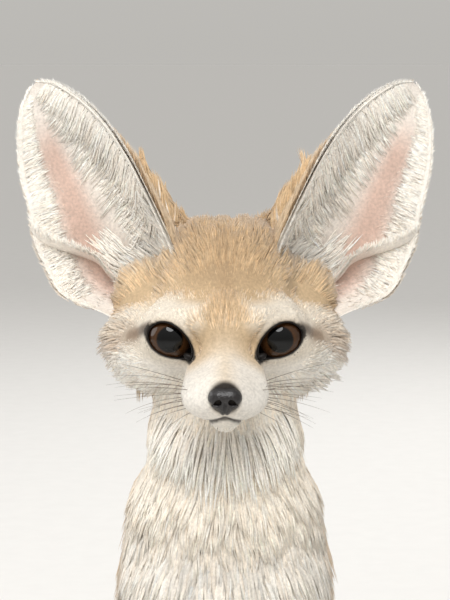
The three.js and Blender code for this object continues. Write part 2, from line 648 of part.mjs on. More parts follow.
// Feet, pressed flat on the floor. The toes part in front, and each carries a claw sunk in its fur
const TOES = [-7.2, -2.5, 2.5, 7.2];
const TOE = { half: 3.4, high: 6, setback: 4 }; // the outer toes stand back
const toeSetback = (i) => (i === 0 || i === TOES.length - 1 ? TOE.setback : 0);
const toeForms = (x, y, reach) =>
  TOES.map((offset, i) => {
    const middle = [x + offset, y + toeSetback(i), TOE.high - FLAT_DEPTH];
    return egg(middle, [TOE.half, reach, TOE.high]);
  });
const HINDFOOT_FORMS = [
  bone([HINDFOOT_PLACE, 70, 8.6 - FLAT_DEPTH], [HINDFOOT_PLACE, 8, 8 - FLAT_DEPTH], 8.6, 8),
  ...toeForms(HINDFOOT_PLACE, -4, 9),
];
const HINDFOOT_SPINE = curve([[HINDFOOT_PLACE, 66, 8], [HINDFOOT_PLACE, 36, 8], [HINDFOOT_PLACE, 2, 6]]);
const HIND_CLAWS = [HINDFOOT_PLACE, -13];

const [PAW_X, PAW_Y] = FOREPAW_PLACE;
const FORELEG_FORMS = [
  bone([23, -8, 116], [22, -14, 84], 15, 11.5),
  bone([22, -14, 84], [20, -24, 34], 11.5, 7.8),
  bone([20, -24, 34], [PAW_X, PAW_Y - 1, 16], 7.8, 8.4),
];
const FORELEG_SPINE = curve([[23, -9, 112], [22, -15, 80], [20, -24, 36], [PAW_X, PAW_Y - 1, 18]]);
const FOREPAW_FORMS = [
  bone([PAW_X, PAW_Y, 16], [PAW_X, PAW_Y - 8, 8.4 - FLAT_DEPTH], 8.6, 8.4),
  ...toeForms(PAW_X, PAW_Y - 17, 8),
];
const FOREPAW_SPINE = curve([[PAW_X, PAW_Y - 1, 15], [PAW_X, PAW_Y - 6, 9], [PAW_X, PAW_Y - 14, 6]]);
const FORE_CLAWS = [PAW_X, PAW_Y - 25];

const forelegSkin = (side, grow) => sideSkin(FORELEG_FORMS, FORELEG_SPINE, side, 10, 9, LEG_BLEND, { grow });
const forepawSkin = (side, grow) =>
  sideSkin(FOREPAW_FORMS, FOREPAW_SPINE, side, 14, 10, TOE_BLEND, { grow, fan: 0.3 });
const hindfootSkin = (side, grow) =>
  sideSkin(HINDFOOT_FORMS, HINDFOOT_SPINE, side, 14, 10, TOE_BLEND, { grow, fan: 0.22 });

function claws(side, x, y) {
  return TOES.map((offset, i) => {
    const claw = new THREE.ConeGeometry(CLAW_RADIUS, CLAW_LENGTH, 5);
    claw.rotateX(CLAW_SLOPE);
    return solid(claw.translate(side * (x + offset), y + toeSetback(i), CLAW_HEIGHT));
  });
}
const CLAW_RADIUS = 1.3;
const CLAW_LENGTH = 9;
const CLAW_SLOPE = Math.PI * 0.6;
const CLAW_HEIGHT = 4.2;

// Tail: along the floor round the fox's left side
const TAIL_LINE = curve([
  [0, 98, 42], [2, 124, 30], [26, 143, 23], [60, 136, 22], [82, 108, 21], [TAIL_REACH, 72, 20],
  [TAIL_REACH, 36, 19], [82, 4, 16], [69, -20, 11],
]);
// The core; the locks stand out about as far again
const tailRadius = (t) => mix(5, 12.5, Math.sin(Math.PI * Math.min(1, 0.18 + t * 0.78)));
const Z_AXIS = point(0, 0, 1);
const tailForms = (from, to, steps) =>
  Array.from({ length: steps }, (_, i) => {
    const [a, b] = [i, i + 1].map((k) => mix(from, to, k / steps));
    const [start, end] = [a, b].map((t) => TAIL_LINE.getPointAt(t).toArray());
    return bone(start, end, tailRadius(a), tailRadius(b));
  });
const tailWhole = body(tailForms(0, 1, 20), TAIL_BLEND, false);
const tailPart = (from, to) =>
  curve([0, 0.2, 0.4, 0.6, 0.8, 1].map((s) => TAIL_LINE.getPointAt(mix(from, to, s)).toArray()));
function tailSkin(from, to, grow) {
  const inside = body(tailForms(from, to, 8), TAIL_BLEND, false);
  return skin(inside, tailPart(from, to), 8, 8, { grow, right: Z_AXIS, fan: 0.2 });
}

function tailCoat({ from, to, rows }) {
  const places = Array.from({ length: rows }, (_, i) => mix(from, to, i / rows));
  const list = places.map((t) => ({ t, many: 5, arc: [-180, 180] }));
  return coat(tailWhole, TAIL_LINE, list, { length: 38, width: 22, thickness: 3.6, rise: 9, right: Z_AXIS });
}

// Assembly: whatever comes later is cut clear of what it meets

const fox = new THREE.Group();
fox.name = "fennec_fox";
const add = (name, made, material) => fox.add(piece(name, made, material));

const headGroup = new THREE.Group();
headGroup.applyMatrix4(headFrame);
fox.add(headGroup);
headGroup.add(piece("head", head(), COAT));
headGroup.add(piece("nose", nose(), NOSE_SKIN));
for (const [name, side] of [["left", 1], ["right", -1]]) {
  headGroup.add(piece("ear_" + name, ear(side), EAR_SKIN));
  headGroup.add(piece("eye_" + name, solid(eyeball(side, EYE_RADIUS, 14)), EYE_GLOSS));
}

const headSeat = [headSkin(GAP), ...headCoat.map((one) => lock(headBody, one, LOCK_GAP))]
  .map((geometry) => solid(moved(geometry, headFrame)));
const headCutter = fuse(headSeat);
const neckWhole = clear(fuse(solid(neckSkin(0)), hair(neckBody, neckCoat)), headCutter);
add("neck", neckWhole, PALE_COAT);
const neckCutter = fuse(solid(neckSkin(GAP)), hair(neckBody, neckCoat, LOCK_GAP));

const SIDES = [["left", 1], ["right", -1]];
const trunkCutter = solid(trunkSkin(GAP));
const haunches = SIDES.map(([, side]) => {
  const inside = sideBody(THIGH_FORMS, side, THIGH_BLEND);
  return { side, inside, locks: thighCoat(inside, side) };
});
const thighCutters = haunches.map(({ side, locks, inside }) =>
  fuse(solid(thighSkin(side, GAP)), hair(inside, locks, LOCK_GAP)));
const forelegCutters = SIDES.map(([, side]) => solid(forelegSkin(side, GAP)));
const TAIL_PARTS = [
  { name: "tail_base", from: 0, to: 0.36, rows: 3, material: TAIL_COAT },
  { name: "tail_middle", from: 0.36, to: 0.7, rows: 3, material: TAIL_COAT },
  { name: "tail_tip", from: 0.7, to: 1, rows: 3, material: TAIL_TIP_COAT },
].map((part) => ({ ...part, locks: tailCoat(part) }));
const tailSolid = ({ from, to, locks }, grow, lockGrow) =>
  fuse(solid(tailSkin(from, to, grow)), hair(tailWhole, locks, lockGrow));
const tailCutters = TAIL_PARTS.map((part) => tailSolid(part, GAP, LOCK_GAP));

const trunkLocks = clear(fuse(hair(trunkBody, trunkCoat)), thighCutters, forelegCutters, tailCutters[0]);
const trunkWhole = fuse(solid(trunkSkin(0)), trunkLocks);
add("trunk", clear(trunkWhole, neckCutter, neckWhole, headCutter, floor()), COAT);

haunches.forEach(({ side, locks, inside }, i) => {
  const name = SIDES[i][0];
  const hindfootCutter = solid(hindfootSkin(side, GAP));
  const thigh = fuse(solid(thighSkin(side, 0)), hair(inside, locks));
  add("thigh_" + name, clear(thigh, trunkCutter, hindfootCutter, floor()), COAT);
  const hindfoot = fuse(solid(hindfootSkin(side, 0)), claws(side, ...HIND_CLAWS));
  add("hindfoot_" + name, clear(hindfoot, trunkCutter, floor()), PALE_COAT);
  const foreleg = solid(forelegSkin(side, 0));
  add("foreleg_" + name, clear(foreleg, trunkCutter, neckCutter, solid(forepawSkin(side, GAP))), PALE_COAT);
  const forepaw = fuse(solid(forepawSkin(side, 0)), claws(side, ...FORE_CLAWS));
  add("forepaw_" + name, clear(forepaw, floor()), PALE_COAT);
});

const tailSolids = TAIL_PARTS.map((part) => tailSolid(part, 0, 0));
TAIL_PARTS.forEach(({ name, material }, i) => {
  const before = [trunkCutter, ...tailCutters.slice(0, i), ...tailSolids.slice(0, i)];
  add(name, clear(tailSolids[i], before, floor()), material);
});

// The origin lies under the middle of the whole box
const whole = new THREE.Box3().setFromObject(fox, true);
const middle = whole.getCenter(point(0, 0, 0));
fox.position.set(-middle.x, -middle.y, -whole.min.z);

export default fox;
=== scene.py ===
"""Fennec fox, adult, sitting, as a life-size still model: one skin with a coat of solid tufts over it.

Forms are in millimetres in the frame of the part before it was centred; world() takes them to the row frame.
"""
import math

import bpy
import numpy as np
import openvdb
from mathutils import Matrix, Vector
from mathutils.bvhtree import BVHTree
from mathutils.kdtree import KDTree

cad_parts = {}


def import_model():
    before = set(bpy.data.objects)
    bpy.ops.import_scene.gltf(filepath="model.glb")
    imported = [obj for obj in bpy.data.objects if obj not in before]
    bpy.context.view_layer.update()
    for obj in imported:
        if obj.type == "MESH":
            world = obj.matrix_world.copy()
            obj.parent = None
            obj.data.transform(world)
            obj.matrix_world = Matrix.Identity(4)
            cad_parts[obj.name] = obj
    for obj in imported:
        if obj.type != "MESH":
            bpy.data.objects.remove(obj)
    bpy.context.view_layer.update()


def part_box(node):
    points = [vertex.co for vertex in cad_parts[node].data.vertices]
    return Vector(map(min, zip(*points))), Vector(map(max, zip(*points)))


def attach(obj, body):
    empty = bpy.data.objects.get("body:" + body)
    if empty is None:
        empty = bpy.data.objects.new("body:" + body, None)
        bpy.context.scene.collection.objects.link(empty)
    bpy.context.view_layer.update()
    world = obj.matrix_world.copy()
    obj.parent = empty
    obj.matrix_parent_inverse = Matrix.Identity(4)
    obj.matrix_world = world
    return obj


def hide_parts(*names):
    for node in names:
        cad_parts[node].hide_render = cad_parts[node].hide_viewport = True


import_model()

# Sizes, in millimetres, and angles
EYE_MIDDLE = np.array([0.0, -45.0, 258.0])
HEAD_PITCH = math.radians(12)
EYE_SPACING = 42
EYE_RADIUS = 10.4
EYE_SINK = 1.6  # how far the ball's middle lies behind the eye's own place
NOSE_TIP = 41
NOSE_DROP = 10
EAR_LENGTH = 84
EAR_WIDTH = 54
EAR_THICKNESS = 1.5
FLAT_DEPTH = 1.2
FLOOR_CLEAR = 0.3

SEED = 20240
rng = np.random.default_rng(SEED)


def nominal_shift():
    corners = [c for name in ("eye_left", "eye_right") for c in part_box(name)]
    return np.mean([list(c) for c in corners], axis=0) * 1000 - EYE_MIDDLE


SHIFT = nominal_shift()


def world(points):
    return (np.asarray(points, float) + SHIFT) / 1000


def ramp(t):
    t = np.clip(t, 0, 1)
    return t * t * (3 - 2 * t)


def past(x, start, span):
    """How far x has gone over a span up from start, from 0 to 1."""
    return ramp((x - start) / span)


def short_of(x, start, span):
    """How far x has gone over a span down from start, from 0 to 1."""
    return ramp((start - x) / span)


def mix(a, b, t):
    return a + (b - a) * t


def unit(v):
    return v / np.maximum(np.linalg.norm(v, axis=-1, keepdims=True), 1e-9)


def flat_to(v, normal):
    """v with its part along normal taken out, at length 1."""
    return unit(v - (v * normal).sum(-1, keepdims=True) * normal)


def rows(*columns):
    """Columns side by side; one number stands for a whole column."""
    return np.stack(np.broadcast_arrays(*columns), -1)


def one_side(p):
    """Points with those of the right half mirrored over to the left."""
    return rows(np.abs(p[:, 0]), p[:, 1], p[:, 2])


def leaned(v, cos, sin):
    """Vectors turned about the x axis."""
    return rows(v[..., 0], v[..., 1] * cos + v[..., 2] * sin, v[..., 2] * cos - v[..., 1] * sin)


def around(sides):
    return np.linspace(0, 2 * np.pi, sides, endpoint=False)


# Rounded forms, melted together

FAR = 60.0
BOX_MARGIN = 16  # how far outside its box the distance to a body is still worked out


def egg(at, size, tilt=0.0):
    return {"at": np.array(at, np.float32), "size": np.array(size, np.float32), "tilt": tilt}


def bone(a, b, r0, r1):
    return {"a": np.array(a, np.float32), "b": np.array(b, np.float32), "r": (r0, r1)}


def reach(form, p):
    """How far points are outside a form."""
    if "at" in form:
        q = p - form["at"]
        if form["tilt"]:
            q = leaned(q, math.cos(form["tilt"]), math.sin(form["tilt"]))
        near = np.sqrt(((q / form["size"]) ** 2).sum(-1))
        far = np.sqrt(((q / form["size"] ** 2) ** 2).sum(-1))
        return near * (near - 1) / np.maximum(far, 1e-6)
    along = form["b"] - form["a"]
    t = np.clip((p - form["a"]) @ along / (along @ along), 0, 1)
    gap = p - form["a"] - t[:, None] * along
    return np.sqrt((gap * gap).sum(-1)) - mix(*form["r"], t)


def extent(form):
    """Two corners of a box round a form."""
    if "at" in form:
        wide = form["size"].max() if form["tilt"] else form["size"]
        return form["at"] - wide, form["at"] + wide
    return (np.minimum(form["a"], form["b"]) - max(form["r"]),
            np.maximum(form["a"], form["b"]) + max(form["r"]))


def melt(a, b, blend):
    near = np.maximum(blend - np.abs(a - b), 0) / blend
    return np.minimum(a, b) - near * near * blend / 4


def body(forms, blend, p, mirrored=True):
    """Distance to melted forms; points far from all of them only get FAR."""
    q = one_side(p) if mirrored else p
    lows, highs = zip(*map(extent, forms))
    margin = blend + BOX_MARGIN
    near = ((q > np.min(lows, 0) - margin) & (q < np.max(highs, 0) + margin)).all(-1)
    q = q[near]
    least = reach(forms[0], q)
    for form in forms[1:]:
        least = melt(least, reach(form, q), blend)
    out = np.full(len(p), FAR, np.float32)
    out[near] = least
    return out


HEAD = [
    egg([0, 30, 5], [29, 29, 33]),  # crown
    egg([0, 5, 5], [21, 19, 14]),  # forehead
    egg([20, 6, 1], [14, 13, 13]),  # round the eye
    bone([0, -6, -3], [0, 8 - NOSE_TIP, -8.5], 8, 6),  # bridge
    egg([8, -13, -11], [8, 12, 7]),  # root of the muzzle
    egg([8, -27, -14], [9, 11, 7.5]),  # whisker pad
    egg([0, -33, -12], [8.5, 6, 7]),  # snout
    egg([25, 9, -10], [14, 14, 12]),  # cheekbone
    egg([30, 24, -10], [17, 18, 16]),  # cheek
    bone([0, 8, -16], [0, -27, -21], 13, 5.6),  # jaw
    egg([30, 42, 1], [15, 13, 15]),  # seat of the ear
    egg([0, 32, -5], [26, 24, 24]),  # nape
]
EAR_ROOT = [bone([17, 43, 23], [32, 51, 50], 7.5, 2.0)]
NECK = [
    egg([0, -6, 238], [27, 29, 24]),
    egg([0, -8, 214], [29, 31, 28]),
    egg([0, -12, 190], [32, 33, 24]),
]
TRUNK = [
    egg([0, -18, 156], [34, 31, 42]),  # chest
    egg([23, 2, 158], [15, 24, 42]),  # shoulder
    egg([0, 16, 138], [35, 35, 48], 0.35),  # ribs
    egg([0, 42, 104], [35, 35, 46], 0.55),  # loin
    egg([0, 66, 56], [39, 41, 52], 0.25),  # rump
]
THIGH = [egg([40, 46, 54], [19, 42, 40], -0.1), bone([44, 14, 56], [42, 66, 18], 17, 13)]
TOES = (-7.2, -2.5, 2.5, 7.2)
TOE_SETBACK = (4, 0, 0, 4)


def toes(x, y, long):
    return [egg([x + side, y + back, 6 - FLAT_DEPTH], [3.1, long, 5.8])
            for side, back in zip(TOES, TOE_SETBACK)]


HINDFOOT = [bone([42, 70, 8.6 - FLAT_DEPTH], [42, 8, 8 - FLAT_DEPTH], 8.6, 8), *toes(42, -4, 9)]
FORELEG = [
    bone([23, -8, 116], [22, -14, 84], 15, 11.5),
    bone([22, -14, 84], [20, -24, 34], 11.5, 7.8),
    bone([20, -24, 34], [19.5, -27, 16], 7.8, 8.4),
]
FOREPAW = [bone([19.5, -26, 16], [19.5, -34, 8.4 - FLAT_DEPTH], 8.6, 8.4), *toes(19.5, -43, 8)]


def smooth_line(points, many):
    """A centripetal Catmull-Rom curve through points, as many points equally far apart."""
    pts = np.array(points, float)
    pts = np.vstack([2 * pts[0] - pts[1], pts, 2 * pts[-1] - pts[-2]])
    out = []
    for i in range(1, len(pts) - 2):
        p = pts[i - 1 : i + 3]
        knots = np.concatenate([[0], np.cumsum(np.sqrt(np.linalg.norm(np.diff(p, axis=0), axis=1)))])
        for t in np.linspace(knots[1], knots[2], 24, endpoint=False):
            a = [mix(p[k], p[k + 1], (t - knots[k]) / (knots[k + 1] - knots[k])) for k in range(3)]
            b = [mix(a[k], a[k + 1], (t - knots[k]) / (knots[k + 2] - knots[k])) for k in range(2)]
            out.append(mix(b[0], b[1], (t - knots[1]) / (knots[2] - knots[1])))
    out = np.array([*out, pts[-2]])
    length = np.concatenate([[0], np.cumsum(np.linalg.norm(np.diff(out, axis=0), axis=1))])
    return np.stack([np.interp(np.linspace(0, length[-1], many), length, out[:, k]) for k in range(3)], -1)


TAIL_POINTS = [
    [0, 98, 42], [2, 124, 30], [26, 143, 23], [60, 136, 22], [82, 108, 21], [88, 72, 20],
    [88, 36, 19], [82, 4, 16], [69, -20, 11],
]
TAIL_LINE = smooth_line(TAIL_POINTS, 61)
TAIL_T = np.linspace(0, 1, len(TAIL_LINE))
TAIL_WAY = unit(np.gradient(TAIL_LINE, axis=0))
TAIL_TIP_REACH = 24
TAIL_END = 0.81  # from here on the tail is black


def tail_radius(t):
    return mix(5, 12.5, np.sin(np.pi * np.minimum(1, 0.18 + t * 0.78)))


TAIL = [
    bone(TAIL_LINE[i], TAIL_LINE[i + 3], tail_radius(TAIL_T[i]), tail_radius(TAIL_T[i + 3]))
    for i in range(0, 60, 3)
]

# Head's own frame: x across, y back, z up from the point between the eyes
PITCH_COS, PITCH_SIN = math.cos(HEAD_PITCH), math.sin(HEAD_PITCH)


def to_head(p):
    return leaned(np.asarray(p, np.float32) - EYE_MIDDLE.astype(np.float32), PITCH_COS, PITCH_SIN)


def turn_from_head(v):
    return leaned(np.asarray(v, float), PITCH_COS, -PITCH_SIN)


def from_head(p):
    return turn_from_head(p) + EYE_MIDDLE


# The eyes' own frames: u towards the nose along the lids, v up, w out of the eye
GAZE_OUT, GAZE_UP, EYE_SLANT = math.radians(9), math.radians(12), math.radians(24)


def eye_frame(side):
    """The ball's middle and the axes u, v and w of one eye."""
    level = math.cos(GAZE_OUT) * math.cos(GAZE_UP)
    w = unit(np.array([side * math.sin(GAZE_OUT), -level, math.sin(GAZE_UP)]))
    inward = flat_to(np.array([-side, 0.0, 0.0]), w)
    up = np.cross(w, inward)
    up = up if up[2] > 0 else -up
    u = inward * math.cos(EYE_SLANT) - up * math.sin(EYE_SLANT)
    v = up * math.cos(EYE_SLANT) + inward * math.sin(EYE_SLANT)
    return np.array([side * EYE_SPACING / 2, 0.0, 0.0]) - w * EYE_SINK, u, v, w


EYE_FRAMES = {side: eye_frame(side) for side in (1, -1)}
LID_INNER, LID_OUTER = (12.3, -2.8), (-8.4, -0.4)
LID_TOP = [LID_INNER, (8.6, 7.0), (-5.6, 11.4), LID_OUTER]
LID_LOW = [LID_OUTER, (-6.2, -8.3), (4.0, -7.4), LID_INNER]


def bezier(points, many):
    t = np.linspace(0, 1, many, endpoint=False)[:, None]
    a, b, c, d = (np.array(p, float) for p in points)
    return a * (1 - t) ** 3 + 3 * b * t * (1 - t) ** 2 + 3 * c * t * t * (1 - t) + d * t ** 3


def almond(many=20):
    """The opening between the lids, in u and v, from the inner corner over the top and back."""
    return np.vstack([bezier(LID_TOP, many), bezier(LID_LOW, many)])


ALMOND = almond()


def almond_distance(q):
    """Signed distance in u and v to the almond, below nought inside."""
    a, b = ALMOND, np.roll(ALMOND, -1, axis=0)
    least = np.full(len(q), 1e9)
    inside = np.zeros(len(q), bool)
    for start, end in zip(a, b):
        edge = end - start
        rel = q - start
        t = np.clip(rel @ edge / (edge @ edge), 0, 1)
        least = np.minimum(least, ((rel - t[:, None] * edge) ** 2).sum(-1))
        cross = (start[1] > q[:, 1]) != (end[1] > q[:, 1])
        with np.errstate(divide="ignore", invalid="ignore"):
            at = start[0] + (q[:, 1] - start[1]) * edge[0] / edge[1]
        inside ^= cross & (q[:, 0] < at)
    return np.where(inside, -1, 1) * np.sqrt(least)


MOUTH_LINE = np.array([[-46, -18.6], [-36, -19.4], [-28, -21.4], [-20, -21.2], [-13, -18.4]])
MOUTH_CORNER = -13.5
LID_RADIUS = EYE_RADIUS + 1.15
LID_REACH = EYE_RADIUS + 8
CORNER_SPREAD = 3.0
FACE_LOW, FACE_HIGH = (-50, -34), (16, 16)  # y and z round lids, mouth and nose


def lid_distance(h, corner_pull=0.0):
    """How far points of the head's frame are outside the nearer eye's opening, seen along its gaze.

    corner_pull takes that much off the distance at the two corners.
    """
    least = np.full(len(h), 30.0)
    for side in (1, -1):
        centre, u, v, w = EYE_FRAMES[side]
        rel = h - centre
        close = (np.linalg.norm(rel, axis=1) < LID_REACH) & (rel @ w > 0)
        flat = np.stack([rel[close] @ u, rel[close] @ v], -1)
        least[close] = almond_distance(flat)
        for corner in (LID_INNER, LID_OUTER):
            least[close] -= corner_pull * np.exp(-((flat - corner) ** 2).sum(-1) / CORNER_SPREAD ** 2)
    return least


def mouth_height(h):
    """The height of the mouth line, which rises under the nose and dips round each whisker pad."""
    across = np.abs(h[:, 0])
    dip = 0.9 * np.exp(-((across / 2.6) ** 2)) - 1.5 * np.exp(-(((across - 7.5) / 4.5) ** 2))
    return np.interp(h[:, 1], MOUTH_LINE[:, 0], MOUTH_LINE[:, 1]) + dip * short_of(h[:, 1], -20, 10)


def skin_depth(h):
    """How far the face's skin lies under its coat."""
    return mix(0.7, 1.9, past(h[:, 1], -36, 60))


def head_field(h, blended):
    """The head's skin: the melted forms, less the coat, with lids, mouth and the furrow under the nose."""
    d = blended + skin_depth(h)
    near = ((h[:, 1:] > FACE_LOW) & (h[:, 1:] < FACE_HIGH)).all(1)
    q = h[near].astype(float)
    face = d[near].astype(float)
    brow = reach(bone([12, -9, 9.5], [27, -3, 10], 1.2, 0.4), one_side(q))
    face = melt(face, brow, 8)
    for side in (1, -1):
        centre, u, v, w = EYE_FRAMES[side]
        rel = q - centre
        ball = np.linalg.norm(rel, axis=1)
        front = rel @ w
        plane = np.stack([rel @ u, rel @ v], -1)
        close = ball < LID_REACH
        rim = np.full(len(q), 9.0)
        rim[close] = almond_distance(plane[close])
        face = melt(face, ball - LID_RADIUS, 2.4)
        fold_over = np.exp(-(((rim - 3.1) / 0.9) ** 2)) * (plane[:, 1] > -1) * past(front, 1, 4)
        face = face + 0.75 * fold_over
        face = np.where(close, np.maximum(face, -np.maximum(rim, 2.4 - front)), face)
    window = ramp((MOUTH_CORNER - q[:, 1]) / 3 + 1)
    face += 1.15 * window * np.exp(-(((q[:, 2] - mouth_height(q)) / 0.75) ** 2))
    furrow = short_of(q[:, 1], -35.5, 2) * short_of(q[:, 2], -12.5, 2) * past(q[:, 2], -19, 2)
    face += 0.9 * furrow * np.exp(-((q[:, 0] / 0.8) ** 2))
    d = d.copy()
    d[near] = face
    return d


def part_distances(p):
    """How far each point is from each part of the body, as melted forms without their coats."""
    return {
        "head": body(HEAD, 9, to_head(p)),
        "neck": body(NECK, 14, p),
        "trunk": body(TRUNK, 16, p),
        "thigh": body(THIGH, 12, p),
        "foreleg": body(FORELEG, 6, p),
        "forepaw": body(FOREPAW, 2.4, p),
        "hindfoot": body(HINDFOOT, 2.4, p),
        "tail": body(TAIL, 2, p, mirrored=False),
    }


PARTS = ("head", "neck", "trunk", "thigh", "foreleg", "forepaw", "hindfoot", "tail")
CORE_DEPTH = dict(zip(PARTS[1:], (1.6, 1.6, 2.0, 1.2, 0.7, 0.8, 2.2)))


def skin_field(p):
    d = part_distances(p)
    h = to_head(p)
    head = melt(head_field(h, d["head"]), body(EAR_ROOT, 1, h) + 1, 8)
    part = {name: d[name] + deep for name, deep in CORE_DEPTH.items()}
    whole = melt(melt(head, part["neck"], 12), part["trunk"], 13)
    whole = melt(melt(whole, part["thigh"], 11), part["tail"], mix(16.0, 9.0, past(p[:, 0], 15, 20)))
    leg = melt(part["foreleg"], part["forepaw"], 4)
    whole = melt(whole, leg, mix(1.0, 12.0, past(p[:, 2], 78, 30)))
    whole = melt(whole, part["hindfoot"], 5)
    return np.maximum(whole, FLOOR_CLEAR - p[:, 2])


# Meshes from fields, on a net that is finer over the face

BLOCK = 8  # cells along the side of a block that is worked out or skipped as a whole
CELL_VALUE = 5.0  # of cells that the surface is far from


def graded(low, high, stops):
    """Places from low to high, with the step each stretch asks for: stops is [(up to, step), ...]."""
    places = [low]
    for end, step in stops:
        while places[-1] < end:
            places.append(places[-1] + step)
    return np.array([x for x in places if x <= high + step])


def lattice(axes):
    """All points of a net, from its places along each axis."""
    return np.stack(np.meshgrid(*axes, indexing="ij"), -1).reshape(-1, 3)


def surface(field, *nets):
    """The zero surface of a field over a net of places, as points and faces of four."""
    size = [len(a) // BLOCK * BLOCK + BLOCK for a in nets]
    axes = [np.interp(np.arange(n), np.arange(len(a)), a) + np.maximum(np.arange(n) - len(a) + 1, 0) * 1.5
            for n, a in zip(size, nets)]
    blocks = [np.arange(0, n, BLOCK) for n in size]
    centres = [np.interp(b + (BLOCK - 1) / 2, np.arange(len(a)), a) for b, a in zip(blocks, axes)]
    middle = field(lattice(centres).astype(np.float32))
    steps = lattice([np.gradient(a)[b] for a, b in zip(axes, blocks)])
    room = np.linalg.norm(steps, axis=1) * BLOCK / 2 * 1.35 + 1.5
    values = np.sign(middle).reshape([len(b) for b in blocks])
    for k in range(3):
        values = np.repeat(values, BLOCK, k)
    values = values.astype(np.float32) * CELL_VALUE
    corners = lattice(blocks)[np.abs(middle) < room]
    index = (corners[:, None, :] + lattice([np.arange(BLOCK)] * 3)[None]).reshape(-1, 3)
    points = np.stack([axes[k][index[:, k]] for k in range(3)], -1).astype(np.float32)
    values[tuple(index.T)] = field(points)
    grid = openvdb.FloatGrid()
    grid.background = CELL_VALUE
    grid.copyFromArray(np.clip(values, -CELL_VALUE, CELL_VALUE))
    made, _, four = grid.convertToPolygons()
    made = np.stack([np.interp(made[:, k], np.arange(size[k]), axes[k]) for k in range(3)], -1)
    return made, four.astype(np.int64)


def facing_out(points, faces):
    a, b, c = (points[faces[:, k]] for k in range(3))
    if np.einsum("ij,ij->", a, np.cross(b, c)) < 0:
        faces = faces[:, ::-1]
    return faces


def make_mesh(name, points, faces):
    """A mesh from points in millimetres and one array of faces, or several, in the row frame."""
    arrays = faces if isinstance(faces, (list, tuple)) else [faces]
    mesh = bpy.data.meshes.new(name)
    loops = np.concatenate([a.ravel() for a in arrays]).astype(np.int32)
    counts = np.concatenate([np.full(len(a), a.shape[1]) for a in arrays]).astype(np.int32)
    mesh.vertices.add(len(points))
    mesh.vertices.foreach_set("co", world(points).astype(np.float32).ravel())
    mesh.loops.add(len(loops))
    mesh.loops.foreach_set("vertex_index", loops)
    mesh.polygons.add(len(counts))
    mesh.polygons.foreach_set("loop_start", np.concatenate([[0], np.cumsum(counts)[:-1]]).astype(np.int32))
    mesh.polygons.foreach_set("use_smooth", np.full(len(counts), True))
    mesh.update()
    thing = bpy.data.objects.new(name, mesh)
    bpy.context.scene.collection.objects.link(thing)
    return thing


def paint(thing, colours):
    layer = thing.data.color_attributes.new("Markings", "FLOAT_COLOR", "POINT")
    rgba = np.ones((len(colours), 4), np.float32)
    rgba[:, :3] = colours
    layer.data.foreach_set("color", rgba.ravel())


def belongs(thing, material, nodes=()):
    thing.data.materials.append(material)
    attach(thing, "root")
    if nodes:
        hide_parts(*nodes)
    return thing


# Skin: one closed surface for all the flesh

SPREAD = 62  # how far the head and haunches reach to each side
nets = (
    graded(-SPREAD, 106, [(-36, 1.4), (36, 0.9), (SPREAD, 1.4), (106, 2.2)]),
    graded(-98, 160, [(-30, 0.9), (10, 1.2), (160, 2.2)]),
    graded(-2, 322, [(22, 1.3), (205, 2.6), (228, 1.4), (322, 0.9)]),
)
skin_points, skin_quads = surface(skin_field, *nets)
skin_quads = facing_out(skin_points, skin_quads)


def vertex_normals(points, faces):
    a, b, c, d = (points[faces[:, k]] for k in range(4))
    face = np.cross(c - a, d - b)
    out = np.zeros_like(points)
    for k in range(4):
        np.add.at(out, faces[:, k], face)
    return unit(out)


skin_normals = vertex_normals(skin_points, skin_quads)


# Ears: a leaf rolled into a cup, as in the solids, with a thinner shell and its hair

EAR_TIP = np.array([76.5, 72.0, 83.0])
EAR_FOOT = np.array([39.5, 34.0, 14.0])
EAR_FACING = np.array([0.35, -0.94, 0.0])
EAR_END = 1.3
FOLD_HEIGHT = 9.5
FOLD_CURL = 1.6


def ear_axes(side):
    down = unit(EAR_FOOT - EAR_TIP)
    facing = flat_to(EAR_FACING, down)
    outer = np.cross(facing, down)
    outer = outer if outer[0] > 0 else -outer
    flip = np.array([side, 1, 1])
    return down * flip, facing * flip, outer * flip, EAR_TIP * flip


def ear_swell(v):
    return np.maximum(1 - (1 - np.minimum(v, 0.64) / 0.64) ** 2, 0) ** 0.62


def inner_rim(v):
    return EAR_WIDTH * 0.45 * ear_swell(v) * (1 - 0.1 * np.clip((v - 1) / 0.3, 0, 1))


def outer_rim(v):
    spread = 0.53 * ear_swell(v) + 0.08 * np.clip((v - 0.5) / 0.2, 0, 1)
    return EAR_WIDTH * spread * (1 - 0.62 * past(v, 0.9, 0.36))


def cup_shape(v):
    """How the leaf is rolled at v: half the angle of its arc, the radius, and how far it lies outward."""
    inner, outer = inner_rim(v), outer_rim(v)
    wrap = np.radians(mix(22, 82, np.clip(v / 1.02, 0, 1)))
    return wrap, np.maximum((inner + outer) / 2, 0.01) / np.sin(wrap), (outer - inner) / 2


def ear_point(side, v, across, depth):
    """A point of the cup, in the head's frame: across is -1 at the inner rim, 1 at the outer."""
    down, facing, outer, tip = ear_axes(side)
    v, across, depth = np.broadcast_arrays(np.asarray(v, float), across, depth)
    wrap, radius, shift = cup_shape(v)
    turn = across * wrap
    sideways = (radius - depth) * np.sin(turn) + shift
    forward = radius * (np.cos(wrap) - np.cos(turn)) + depth * np.cos(turn)
    return (tip + (v * EAR_LENGTH)[..., None] * down + sideways[..., None] * outer
            + forward[..., None] * facing)


def ear_place(side, h):
    """The inverse of ear_point: v, across and depth of points in the head's frame."""
    down, facing, outer, tip = ear_axes(side)
    rel = h - tip
    v = rel @ down / EAR_LENGTH
    wrap, radius, shift = cup_shape(v)
    sideways = rel @ outer - shift
    forward = rel @ facing - radius * np.cos(wrap)
    return v, np.arctan2(sideways, -forward) / wrap, radius - np.hypot(sideways, forward)


BEHIND_SHELL = -1.2  # depth of places just behind a cup's shell


